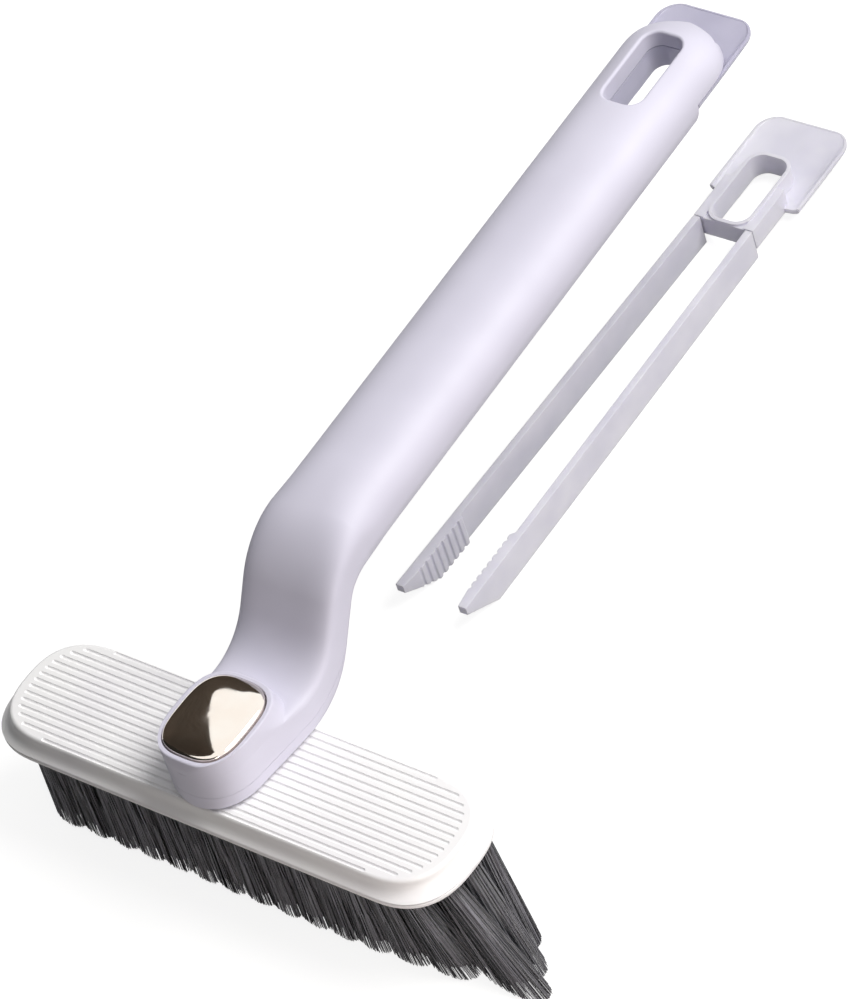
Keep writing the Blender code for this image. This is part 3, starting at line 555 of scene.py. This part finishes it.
def insideFoot(x, y, z):
    # the place, drawn in towards the cap's centre until it is within the boss's walls
    low, high = 0.0, 1.0
    for _ in range(20):
        share = (low + high) / 2
        at = boss["capCentreY"] + (y - boss["capCentreY"]) * share
        halfWidth, _, _, _, _, draft, _ = sectionAt(max(at, -handle["footFront"]), 0.0)
        room = halfWidth * (1 - draft * (z - handle["footHeight"]) / handle["footHalfHeight"]) - boss["wallSkin"]
        fits = at > boss["wallSkin"] - handle["footFront"] and abs(x * share) < room
        low, high = (share, high) if fits else (low, share)
    return x * low, boss["capCentreY"] + (y - boss["capCentreY"]) * low


def bossRim():
    # turret round the cap: a rolled rim on walls that run out softly over the boss
    grow = gap + boss["rimWidth"]
    radius, foot = boss["rimRound"], boss["rimFoot"]
    low, high = bossTop - boss["rimDrop"], rimTop - radius
    profile = [(grow + foot, low - overrun)]
    for i in range(15):
        share = i / 14
        profile.append((grow + foot * (1 - share), low + (high - low) * share ** boss["rimFlare"]))
    for sin, cos in quarterTurn(6)[1:]:
        profile.append((grow - radius * (1 - cos), rimTop - radius * (1 - sin)))
    return drawThrough([[(*insideFoot(x, y, z), z) for x, y in capOutline(out)] for out, z in profile])


def capRecess():
    # pocket for the cap, its mouth eased
    eased = boss["mouthEase"]
    profile = [(gap, capSeat), (gap, rimTop - eased), (gap + 0.3 * eased, rimTop - 0.3 * eased),
               (gap + eased + overrun, rimTop + overrun)]
    return drawThrough([lift(capOutline(out), z) for out, z in profile])


def screwHoles(shell, *bores):
    # room for both shell screws; each bore has a radius and the height that it reaches
    for side in (-1, 1):
        for radius, top in bores:
            centre = (side * boss["shellScrewX"], boss["shellScrewY"])
            carve(shell, rod(radius + gap, 0.0, top, centre, 24), plateFrame)


def makeUpperShell():
    shell = solid("handleUpperShell", shellOutside(1), plateFrame)
    carve(shell, tailWedge(gap / 2), gripFrame)
    hollow = solid("upperHollow", shellHollow(1), plateFrame)
    collar = prism(slotOutline(tail["collarWall"]), handle["gripHalfHeight"] - tail["collarDrop"], reach)
    carve(hollow, collar, gripFrame)
    carve(shell, hollow)
    carve(shell, lippedHole(), gripFrame)
    outer = armOuter + gap
    doorway = block((-outer, clipEnd - handle["tailRound"], -overrun), (outer, clipEnd, ringTop + gap))
    carve(shell, doorway, gripFrame)
    carve(shell, bossRim(), plateFrame, "UNION")
    carve(shell, capRecess(), plateFrame)
    chamber = rod(boss["washerRadius"] + gap, footSeam - overrun, capSeat - handle["wall"])
    carve(shell, chamber, plateFrame)
    access = rod(boss["screwHeadRadius"] + gap, handle["footHeight"], capSeat + overrun)
    carve(shell, access, plateFrame)
    screwHoles(shell, (boss["shellScrewRadius"],
                       footBottom + boss["shellScrewHeadHeight"] + boss["shellScrewLength"] + gap))
    dress(shell, paintedShadeGripAbs, "handle", ["handle_upper_shell"])


def makeLowerShell():
    shell = solid("handleLowerShell", shellOutside(-1), plateFrame)
    carve(shell, tailWedge(reach), gripFrame)
    carve(shell, shellHollow(-1), plateFrame)
    notch = roundedBox(tail["notchHalfWidth"], tail["notchLength"], tail["notchRound"], (0, capFront))
    carve(shell, prism(notch, -reach, -tail["notchRoof"]), gripFrame)
    carve(shell, rod(boss["postRadius"] + gap, -overrun, handle["footHeight"]), plateFrame)
    screwHoles(shell, (boss["shellScrewRadius"], handle["footHeight"]),
               (boss["shellScrewHead"], footBottom + boss["shellScrewHeadHeight"] + gap))
    dress(shell, paintedShadeGripAbs, "handle", ["handle_lower_shell"])


def makePivotCap():
    # domed cap with a small flat bead round its foot
    rim = rimTop + boss["capProud"]
    steps, knee = 24, 7
    rings = [lift(capOutline(0.0), z) for z in (capSeat + gap, rim)]
    for i in range(1, steps):
        share = math.cos(math.pi * i / steps) if i < knee else boss["capKnee"] * (steps - i) / (steps - knee + 1)
        outline = superOval(boss["capHalfX"] * share, boss["capHalfY"] * share, boss["capPower"], 96,
                            (0, boss["capCentreY"]))
        rings.append(lift(outline, rim + boss["capDome"] * math.sqrt(1 - share * share)))
    cap = solid("pivotCap", drawThrough(rings), plateFrame)
    skirt = boss["capSkirt"] / 3
    carve(cap, prism(capOutline(-skirt), capSeat, rim - skirt), plateFrame)
    dress(cap, bronze, "handle", ["pivot_cap"])


# Head: ribbed plate with a hollow sloping rim, over the block that carries the tufts
head = {
    "plateHalfLength": 70.7 * mm, "plateHalfWidth": 17 * mm,
    "rimSpreadLength": 3.2 * mm, "rimSpreadWidth": 2.3 * mm, "plateDepth": 5.2 * mm,
    "plateWall": 1.6 * mm, "lipHeight": 1.9 * mm, "lipInset": 0.5 * mm, "endPower": 2.6,
    "endRound": 19 * mm, "edgeRound": 1.0 * mm, "rimHollowPower": 2.8,
    "grooveCount": 15, "grooveSideMargin": 1.11 * mm, "grooveWidth": 1.15 * mm, "grooveDepth": 0.5 * mm,
    "grooveProfile": ((-0.8, -1.0), (-0.5, -0.86), (-0.24, -0.55), (-0.08, -0.2), (0.0, 0.0), (0.24, 0.55)),
    "grooveMargin": 2.9 * mm, "pocketEdgeLength": 2.4 * mm, "pocketEdgeWidth": 2.3 * mm, "pocketRound": 8 * mm,
    "pocketDepth": 1.0 * mm, "blockRise": 1.8 * mm, "blockFit": 0.4 * mm,
}
headHalfLength = head["plateHalfLength"] + head["rimSpreadLength"]
headHalfWidth = head["plateHalfWidth"] + head["rimSpreadWidth"]
baseZ = -(head["plateDepth"] + head["lipHeight"])


def headOutline(halfLength, halfWidth, steps=44):
    # straight sides and full round-cornered ends
    points = []
    power = head["endPower"]
    for side in (1, -1):
        for i in range(steps + 1):
            angle = -math.pi / 2 + math.pi * i / steps
            cos, sin = math.cos(angle), math.sin(angle)
            x = halfLength - head["endRound"] + head["endRound"] * abs(cos) ** (2 / power)
            points.append((side * x, side * halfWidth * math.copysign(abs(sin) ** (2 / power), sin)))
    return points


def makeTopPlate():
    edge = head["edgeRound"]
    profile = [(-edge * (1 - sin), -edge * (1 - sin), -edge * (1 - cos)) for sin, cos in quarterTurn(4)]
    steps = 10
    for i in range(1, steps + 1):
        out = (i / steps) ** head["rimHollowPower"]
        z = -edge - (head["plateDepth"] - edge) * i / steps
        profile.append((head["rimSpreadLength"] * out, head["rimSpreadWidth"] * out, z))
    rings = [lift(headOutline(head["plateHalfLength"] + outX, head["plateHalfWidth"] + outY), z)
             for outX, outY, z in profile]
    plate = solid("headTopPlate", drawThrough(rings), plateFrame)
    wall = head["plateWall"]
    roof = headOutline(head["plateHalfLength"] - wall, head["plateHalfWidth"] - wall)
    mouth = headOutline(headHalfLength - wall, headHalfWidth - wall)
    hollow = [lift(roof, -wall), lift(mouth, -head["plateDepth"] - overrun)]
    carve(plate, drawThrough(hollow), plateFrame)
    carve(plate, grooveCutters(), plateFrame)
    carve(plate, rod(boss["postRadius"] + gap, -head["plateDepth"], overrun), plateFrame)
    dress(plate, headAbs, "head", ["head_top_plate"])


def grooveCutters():
    # round-ended grooves with leaning walls, each a margin short of the plate's end
    count, power = head["grooveCount"], head["endPower"]
    pitch = 2 * (head["plateHalfWidth"] - head["grooveSideMargin"]) / (count - 1)
    bm = bmesh.new()
    for i in range(count):
        y = (i - (count - 1) / 2) * pitch
        share = min(abs(y) / (head["plateHalfWidth"] - head["edgeRound"]), 1.0)
        half = head["plateHalfLength"] - head["endRound"] - head["grooveMargin"]
        half += head["endRound"] * (1 - share ** power) ** (1 / power)
        wide = head["grooveWidth"] / 2
        rings = []
        for grow, z in head["grooveProfile"]:
            outline = roundedBox(half + grow * wide, wide * (1 + grow), wide * (1 + grow) * 0.98, (0, y), 5)
            rings.append(lift(outline, z * head["grooveDepth"]))
        groove = drawThrough(rings)
        mesh = bpy.data.meshes.new("groove")
        groove.to_mesh(mesh)
        groove.free()
        bm.from_mesh(mesh)
        bpy.data.meshes.remove(mesh)
    return bm


def makeBristleBlock():
    # tray under the plate: a rounded lip, an island inside the plate, a pocket for the tuft strips
    top = -head["plateDepth"] - gap
    inset = head["lipInset"]
    profile = [(inset * (1 - sin), top - inset * (1 - cos)) for sin, cos in quarterTurn(4)]
    profile += [(inset * (1 - cos), baseZ + inset * (1 - sin)) for sin, cos in quarterTurn(4)]
    rings = [lift(headOutline(headHalfLength - out, headHalfWidth - out), z) for out, z in profile]
    tray = solid("bristleBlock", drawThrough(rings), plateFrame)
    wall = head["plateWall"]
    share = (head["plateDepth"] + gap - head["blockRise"] - wall) / (head["plateDepth"] + overrun - wall)
    island = headOutline(head["plateHalfLength"] - wall + head["rimSpreadLength"] * share - head["blockFit"],
                         head["plateHalfWidth"] - wall + head["rimSpreadWidth"] * share - head["blockFit"])
    carve(tray, prism(island, top - inset, top + head["blockRise"]), plateFrame, "UNION")
    pocket = roundedBox(headHalfLength - head["pocketEdgeLength"], headHalfWidth - head["pocketEdgeWidth"],
                        head["pocketRound"])
    carve(tray, prism(pocket, baseZ - overrun, baseZ + head["pocketDepth"]), plateFrame)
    dress(tray, headAbs, "head", ["bristle_block"])


# Bristles: fat tufts of fine nylon filament, leaning towards one end and fanned out there
bristles = {
    "rows": ("front", "mid_front", "mid_back", "back"), "flares": (8 * mm, 26 * mm, 21 * mm, 17 * mm),
    "fanPlaces": (-9.6 * mm, -9.0 * mm, -3.5 * mm, 3.0 * mm), "shifts": (2.2 * mm, 0.0, 0.0, 2.2 * mm),
    "tuftPitch": 9.1 * mm, "flareStart": 35 * mm, "flarePower": 2.1, "squeeze": 0.97,
    "rootX": 3.7 * mm, "rootY": 2.9 * mm, "tipX": 4.45 * mm, "tipY": 4.1 * mm, "squareness": 2.7,
    "perTuft": 420, "points": 4, "thickness": 0.22 * mm, "sawtooth": 3.4 * mm, "sawtoothFade": 0.8,
    "uneven": 0.45 * mm, "stray": 0.11 * mm, "seed": 11, "endMargin": 3.0 * mm, "tuftShade": 0.92, "heart": 0.98,
    "heartLength": 0.9, "heartTip": 0.5, "heartEdge": 0.06, "thinning": 0.3, "stripSoft": 0.15 * mm,
    "pastBox": 9 * mm,
}


def rowStrip(index):
    # middle of a row's strip across the head, and its half width
    halfPocket = headHalfWidth - head["pocketEdgeWidth"]
    pitch = (2 * halfPocket - gap) / len(bristles["rows"])
    return -halfPocket + gap + index * pitch + (pitch - gap) / 2, (pitch - gap) / 2


def tuftPlace(index, centre, rowEnd, cx, cy):
    # root and tip on the head's plane of the strand at (cx, cy) in a tuft; tufts near the end fan out and close up
    b = bristles
    row, _ = rowStrip(index)
    x = centre + cx * b["tipX"]
    into = max(0.0, (x - b["flareStart"]) / (rowEnd - b["flareStart"])) ** b["flarePower"]
    tipRow = row * b["squeeze"] + (b["fanPlaces"][index] - row * b["squeeze"]) * into
    return (Vector((centre + cx * b["rootX"], row + cy * b["rootY"])),
            Vector((x + b["flares"][index] * into, tipRow + cy * b["tipY"])))


def sawtoothAt(x, cx):
    # how much shorter a tuft is on its near side, all but gone in the fan
    b = bristles
    into = ease((x - b["flareStart"]) / (headHalfLength - b["flareStart"]))
    return b["sawtooth"] * (1 - cx) / 2 * (1 - b["sawtoothFade"] * into)


def addStrand(curve, root, tip, bend):
    # one tapering filament as a thin curve
    spline = curve.splines.new("POLY")
    spline.points.add(bristles["points"] - 1)
    root, tip = Vector(root), Vector(tip)
    for k, point in enumerate(spline.points):
        share = k / (bristles["points"] - 1)
        at = root.lerp(tip, share ** bend)
        point.co = (at.x, at.y, root.z + (tip.z - root.z) * share, 1)
        point.radius = 1.0 - bristles["thinning"] * share ** 2


def addHeart(bm, index, centre, rowEnd, lowest):
    # packed heart of a tuft, so that no light passes between its strands
    b = bristles
    top = baseZ + b["thickness"]
    rings = []
    for share in (0.0, 0.3, 0.6, b["heartLength"] - b["heartEdge"], b["heartLength"]):
        scale = b["heart"] if share < b["heartLength"] else b["heart"] * b["heartTip"]
        ring = []
        for cx, cy in superOval(scale, scale, b["squareness"], 40):
            root, tip = tuftPlace(index, centre, rowEnd, cx, cy)
            at = root.lerp(tip, share)
            length = lowest + sawtoothAt(root.x, cx) - top
            ring.append((at.x, at.y, top + length * share))
        rings.append(ring)
    heart = solid("tuftHeart", drawThrough(rings), plateFrame)
    bm.from_mesh(heart.data)
    bpy.data.objects.remove(heart)


def makeBristleRow(index):
    b = bristles
    dice = random.Random(b["seed"] + index)
    name = b["rows"][index] + "_bristle_row"
    low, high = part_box(name)
    lowest = low.z - pivot.z + b["thickness"]
    yMid, stripHalf = rowStrip(index)
    half = headHalfLength - head["pocketEdgeLength"] - gap
    if index in (0, len(b["rows"]) - 1):
        half -= head["pocketRound"]
    tufts = int((2 * half - 2 * b["endMargin"]) / b["tuftPitch"]) + 1
    centres = [(t - (tufts - 1) / 2) * b["tuftPitch"] + b["shifts"][index] for t in range(tufts)]
    rowEnd = centres[-1] + b["tipX"]
    farthest = min(high.x + b["pastBox"], cadBox[1].x) - pivot.x - b["thickness"]
    curve = bpy.data.curves.new(name + "Strands", "CURVE")
    curve.dimensions = "3D"
    curve.bevel_depth = b["thickness"] / 2
    curve.bevel_resolution = 0
    curve.use_fill_caps = True
    outward = []
    power = b["squareness"]
    for centre in centres:
        for s in range(b["perTuft"]):
            # two strands of three stand in the tuft's skin, the others within
            around = s * 2.39996 + dice.uniform(-0.3, 0.3)
            out = dice.uniform(b["heart"], 1.0) if s % 3 else math.sqrt(dice.random()) * b["heart"]
            cos, sin = math.cos(around), math.sin(around)
            scale = out / (abs(cos) ** power + abs(sin) ** power) ** (1 / power)
            cx, cy = cos * scale, sin * scale
            root, tip = tuftPlace(index, centre, rowEnd, cx, cy)
            length = sawtoothAt(root.x, cx) + abs(dice.gauss(0, 1)) * b["uneven"]
            tip += Vector((dice.gauss(0, b["stray"]), dice.gauss(0, b["stray"])))
            tip.x = min(tip.x, farthest)
            addStrand(curve, (*root, baseZ + b["thickness"]), (*tip, lowest + length), dice.uniform(0.98, 1.06))
            outward.append(Vector((math.copysign(abs(cos) ** (power - 1), cos) / b["rootX"],
                                   math.copysign(abs(sin) ** (power - 1), sin) / b["rootY"], 0)).normalized())
    holder = bpy.data.objects.new(name + "Strands", curve)
    scene.collection.objects.link(holder)
    bpy.context.view_layer.update()
    mesh = bpy.data.meshes.new_from_object(holder.evaluated_get(bpy.context.evaluated_depsgraph_get()))
    bpy.data.objects.remove(holder)
    mesh.transform(plateFrame)
    perStrand = len(mesh.vertices) // len(outward)
    bm = bmesh.new()
    bm.from_mesh(mesh)
    for centre in centres:
        addHeart(bm, index, centre, rowEnd, lowest)
    bm.to_mesh(mesh)
    bm.free()
    row = bpy.data.objects.new(name.replace("_", "") + "Tufts", mesh)
    scene.collection.objects.link(row)
    mesh.materials.clear()
    mesh.materials.append(nylon)
    mesh.shade_smooth()
    normals = [v.normal.copy() for v in mesh.vertices]
    for i in range(perStrand * len(outward)):
        normals[i] = (outward[i // perStrand] * b["tuftShade"] + normals[i] * (1 - b["tuftShade"])).normalized()
    mesh.normals_split_custom_set_from_vertices(normals)
    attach(row, "head")
    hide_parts(name)

    back = baseZ + head["pocketDepth"] - gap
    strip = block((-half, yMid - stripHalf, baseZ), (half, yMid + stripHalf, back))
    strip = solid(name.replace("_", "") + "Strip", strip, plateFrame)
    soften(strip, b["stripSoft"])
    dress(strip, acetal, "head", [name])


# Clip: dished cap with a ring round the hang hole, and two spring arms with toothed jaws
clip = {
    "railOverlap": 2 * mm, "webLength": 2 * mm, "webDrop": 0.8 * mm, "corner": 6.5 * mm, "trayDepth": 3 * mm,
    "trayEndDepth": 1.7 * mm, "trayPower": 3.4, "trayRise": 21 * mm, "dish": 1.5 * mm, "dishWall": 0.9 * mm,
    "dishPower": 2.4, "dishEnd": 0.98, "ringWall": 1.1 * mm, "armThickness": 2.2 * mm, "armHeight": 10 * mm,
    "armDrop": 6.1 * mm, "armTipStart": 5.08 * mm, "jawLength": 27 * mm, "jawThickness": 1.2 * mm,
    "teeth": 8, "toothDepth": 0.5 * mm, "tipBevel": 13 * mm, "tipHeight": 2.6 * mm, "armSoft": 0.25 * mm,
}
ringTop = handle["gripHalfHeight"] - tail["collarDrop"] - gap
ringHalfX = tail["holeHalfX"] + clip["ringWall"]
ringHalfY = tail["holeHalfY"] + clip["ringWall"]
armRoot = holeCentre - ringHalfY - gap
armReach = armRoot - clip["armTipStart"]
armOuter = ringHalfX + clip["armThickness"] + gap


def traySolid(stations, inset, deep, shallow, power, top, count=28):
    # dish drawn along the tail: deep at its front, shallow at its end, with round corners
    rings = []
    for u in stations:
        rise = min(max((u - clipEnd + clip["trayRise"]) / clip["trayRise"], 0.0), 1.0) ** 2
        into = max(u - clipEnd + clip["corner"], 0.0)
        halfWidth = handle["gripHalfWidth"] - inset - clip["corner"] + math.sqrt(clip["corner"] ** 2 - into ** 2)
        depth = deep + (shallow - deep) * rise
        ring = [(halfWidth, u, top)]
        for i in range(count + 1):
            t = math.pi * i / count
            x = halfWidth * math.copysign(abs(math.cos(t)) ** (2 / power), math.cos(t))
            ring.append((x, u, -gap / 2 - depth * abs(math.sin(t)) ** (2 / power)))
        ring.append((-halfWidth, u, top))
        rings.append(ring)
    return drawThrough(rings)


def makeClipCap(name, place, material, body, node):
    # both caps are cut in the same place, so that they come out alike
    start = clipEnd - clip["trayRise"]
    far = [start + clip["trayRise"] * sin for sin, _ in quarterTurn(30)]
    cap = solid(name, traySolid([capFront] + far, 0.0, clip["trayDepth"], clip["trayEndDepth"], clip["trayPower"],
                                -gap / 4), gripFrame)
    inner = [capFront - overrun] + [u for u in far if u < start + clip["dishEnd"] * clip["trayRise"]]
    dish = traySolid(inner, clip["dishWall"], clip["dish"], 0.0, clip["dishPower"], overrun)
    carve(cap, dish, gripFrame)
    low = -clip["trayDepth"]
    carve(cap, prism(slotOutline(clip["ringWall"]), low, ringTop), gripFrame, "UNION")
    for side in (-1, 1):
        inX, outX = side * (ringHalfX - clip["ringWall"] / 2), side * armOuter
        rail = block((min(inX, outX), armRoot + gap, low),
                     (max(inX, outX), capFront + clip["railOverlap"], clip["armHeight"] - clip["armDrop"]))
        carve(cap, rail, gripFrame, "UNION")
    web = block((-ringHalfX, armRoot + gap, low),
                (ringHalfX, armRoot + 2 * clip["webLength"], ringTop - clip["webDrop"]))
    carve(cap, web, gripFrame, "UNION")
    carve(cap, prism(slotOutline(0.0), -reach, reach), gripFrame)
    cap.data.transform(place @ gripFrame.inverted())
    dress(cap, material, body, [node])


def makeClipArm(name, inward, place, material, node):
    c = clip
    outer, inner = -inward * c["armThickness"] / 2, inward * c["armThickness"] / 2
    jaw = inner + inward * c["jawThickness"]
    jawStart = -(armReach - c["jawLength"])
    pitch = (c["jawLength"] - c["tipBevel"] / 2) / c["teeth"]
    outline = [(outer, 0.0), (inner, 0.0), (inner, jawStart + c["jawThickness"]), (jaw, jawStart)]
    for i in range(c["teeth"]):
        u = jawStart - i * pitch
        root = jaw - inward * c["toothDepth"]
        outline += [(jaw, u - pitch / 2), (root, u - pitch * 0.625), (root, u - pitch * 0.875), (jaw, u - pitch)]
    outline += [(inner + inward * c["jawThickness"] / 3, -armReach), (outer, -armReach)]
    arm = solid(name, prism(outline, -c["armDrop"], c["armHeight"] - c["armDrop"]), place)
    side = 2 * (c["armThickness"] + c["jawThickness"])
    under = -c["armDrop"] - overrun
    slope = (c["armHeight"] - c["tipHeight"]) / c["tipBevel"]
    wedge = [(-armReach - overrun, under), (-armReach + c["tipBevel"] + overrun / slope, under),
             (-armReach - overrun, c["armHeight"] - c["armDrop"] - c["tipHeight"] + overrun * slope)]
    carve(arm, drawThrough([[(x, u, w) for u, w in wedge] for x in (-side, side)]), place)
    soften(arm, c["armSoft"])
    dress(arm, material, node, [node])


def makeClipArms(name, prefix, turns, material):
    # both arms, each on its hinge: the place from the joint, the direction from the clip and its splay
    for inward, side, end, turn in ((1, "Left", "", turns[0]), (-1, "Right", "_right", turns[1])):
        place = Matrix.Translation(joints[prefix + "squeeze" + end]["pos_m"]) @ turn
        makeClipArm(name + side + "Arm", inward, place, material, prefix + side.lower() + "_arm")


makeUpperShell()
makeLowerShell()
makePivotCap()
print("handle made")
makeTopPlate()
makeBristleBlock()
print("head made")
for rowIndex in range(len(bristles["rows"])):
    makeBristleRow(rowIndex)
print("bristles made")

gripTurn = Matrix.Rotation(handle["gripAngle"], 4, "X")
makeClipCap("clipCap", gripFrame, clipPlastic, "clip", "clip_cap")
makeClipArms("clip", "clip_", (gripTurn, gripTurn), clipPlastic)
spare = {"yaw": math.radians(0.8), "splay": math.radians(0.7)}
hinges = [Vector(joints[name]["pos_m"]) for name in ("spare_clip_squeeze", "spare_clip_squeeze_right")]
spareTurn = Matrix.Rotation(spare["yaw"], 4, "Z")
spareFrame = Matrix.Translation((hinges[0] + hinges[1]) / 2) @ spareTurn @ Matrix.Translation((0, -armRoot, 0))
makeClipCap("spareClipCap", spareFrame, sparePlastic, "spare_clip", "spare_clip_cap")
spareTurns = [Matrix.Rotation(spare["yaw"] - inward * spare["splay"], 4, "Z") for inward in (1, -1)]
makeClipArms("spareClip", "spare_clip_", spareTurns, sparePlastic)
print("clips made")

for node, material in (("pivot_post", acetal), ("pivot_washer", zinc), ("pivot_screw", zinc),
                       ("pivot_spring", zinc), ("shell_screw_left", zinc), ("shell_screw_right", zinc)):
    frame["nodes"][node].data.materials.clear()
    frame["nodes"][node].data.materials.append(material)
print("inner pieces finished")


# Studio: pale floor, a large soft key, a weak fill and strip in front, and dark cards that shade one side
studio = {
    "cameraPlace": (719.31 * mm, -533.46 * mm, 945.88 * mm), "cameraTurn": (43.6693, 13.7408, 35.124),
    "focalPixels": 5129.96, "frameHeight": 999, "sensor": 36.0, "nearAndFar": (0.05, 20),
    "floorSize": 6.0, "floorDrop": 0.05 * mm, "floorGlow": 0.85, "floorTone": 0.3, "skyLight": 0.42,
    "keyPlace": (0.6, 0.32, 1.02), "keySize": 0.8, "keyPower": 12.9,
    "fillPlace": (1.2, -0.1, 0.35), "fillSize": 0.7, "fillPower": 1.2,
    "stripPlace": (0.16, -0.26, 0.05), "stripSize": 0.06, "stripPower": 0.085,
    "mirrorCard": (1.3, 60, 215, 60, 38, 82, 140, 17), "frontCard": (0.8, 175, 326, 25, 52, 52, 200, 10),
    "sideCard": (0.26, 185, 258, 12, 38, 38, 185, 10), "cardFoot": 1 * mm,
}


def seenDirectly(tree):
    # 1 for rays from the camera, from mirrors and through clear things
    path = addNode(tree, "LightPath")
    both = addNode(tree, "Math", {"operation": "MAXIMUM"}, {0: path.outputs["Is Camera Ray"],
                                                           1: path.outputs["Is Glossy Ray"]})
    return addNode(tree, "Math", {"operation": "MAXIMUM"}, {0: both.outputs[0],
                                                           1: path.outputs["Is Transmission Ray"]}).outputs[0]


def makeFloor():
    bm = bmesh.new()
    bmesh.ops.create_grid(bm, x_segments=1, y_segments=1, size=studio["floorSize"] / 2)
    floor = solid("studioFloor", bm, Matrix.Translation((0, 0, cadBox[0].z - studio["floorDrop"])))
    material = bpy.data.materials.new("paleFloor")
    material.use_nodes = True
    tree = material.node_tree
    tree.nodes.clear()
    shade = addNode(tree, "BsdfDiffuse", {"Color": (*[studio["floorTone"]] * 3, 1)})
    glow = addNode(tree, "Emission", {"Color": (1, 1, 1, 1)})
    power = addNode(tree, "Math", {"operation": "MULTIPLY", 1: studio["floorGlow"]}, {0: seenDirectly(tree)})
    tree.links.new(power.outputs[0], glow.inputs["Strength"])
    both = addNode(tree, "AddShader", None, {0: shade.outputs[0], 1: glow.outputs[0]})
    addNode(tree, "OutputMaterial", None, {"Surface": both.outputs[0]})
    floor.data.materials.append(material)


def makeWorld():
    world = bpy.data.worlds.new("studio")
    scene.world = world
    world.use_nodes = True
    tree = world.node_tree
    tree.nodes.clear()
    seen = seenDirectly(tree)
    power = addNode(tree, "MapRange", {"To Min": studio["skyLight"], "To Max": 1.0}, {"Value": seen})
    sky = addNode(tree, "Background", {"Color": (1, 1, 1, 1)}, {"Strength": power.outputs[0]})
    addNode(tree, "OutputWorld", None, {"Surface": sky.outputs[0]})


def addLamp(name, place, size, power, colour):
    lamp = bpy.data.lights.new(name, "AREA")
    lamp.shape = "DISK"
    lamp.size = size
    lamp.energy = power
    lamp.color = linear(colour)[:3]
    holder = bpy.data.objects.new(name, lamp)
    scene.collection.objects.link(holder)
    holder.location = place
    holder.rotation_euler = (-Vector(place)).to_track_quat("-Z", "Y").to_euler()


def addCard(name, colours, distance, start, end, rise, lowTop, highTop, turnAt, turnOver):
    # curved studio card round the boss, low at its start and tall past a turn, that keeps light off one side
    bm = bmesh.new()
    bmesh.ops.create_grid(bm, x_segments=72, y_segments=12, size=0.5)
    for vert in bm.verts:
        around = start + (end - start) * (vert.co.x + 0.5)
        top = lowTop * ease((around - start) / rise)
        top += (highTop - lowTop) * ease((around - turnAt) / turnOver)
        around, height = math.radians(around), math.radians(top * (vert.co.y + 0.5))
        vert.co = distance * Vector((math.cos(around) * math.cos(height), math.sin(around) * math.cos(height),
                                     math.sin(height)))
    card = solid(name, bm, Matrix.Translation((pivot.x, pivot.y, studio["cardFoot"])))
    material, tree, shader, place = newMaterial(name + "Felt", {"Roughness": 1.0})
    tree.links.new(tone(tree, place, 0.8, *colours), shader.inputs["Base Color"])
    card.data.materials.append(material)
    card.visible_camera = False
    card.visible_shadow = False
    return card


def makeCamera():
    data = bpy.data.cameras.new("photoView")
    data.sensor_width = studio["sensor"]
    data.lens = studio["focalPixels"] * studio["sensor"] / studio["frameHeight"]
    data.clip_start, data.clip_end = studio["nearAndFar"]
    camera = bpy.data.objects.new("photoView", data)
    scene.collection.objects.link(camera)
    camera.location = pivot + Vector(studio["cameraPlace"])
    camera.rotation_euler = [math.radians(angle) for angle in studio["cameraTurn"]]
    scene.camera = camera


makeFloor()
makeWorld()
addLamp("key", studio["keyPlace"], studio["keySize"], studio["keyPower"], "#fffdfa")
addLamp("fill", studio["fillPlace"], studio["fillSize"], studio["fillPower"], "#fff1e6")
addLamp("strip", studio["stripPlace"], studio["stripSize"], studio["stripPower"], "#fff3e9")
addCard("mirrorCard", ("#5e544b", "#463d35"), *studio["mirrorCard"]).visible_diffuse = False
addCard("frontCard", ("#2a2620", "#1a1712"), *studio["frontCard"])
addCard("sideCard", ("#0c0b0a", "#060505"), *studio["sideCard"])
makeCamera()
scene.view_settings.view_transform = "Standard"
print("studio ready")
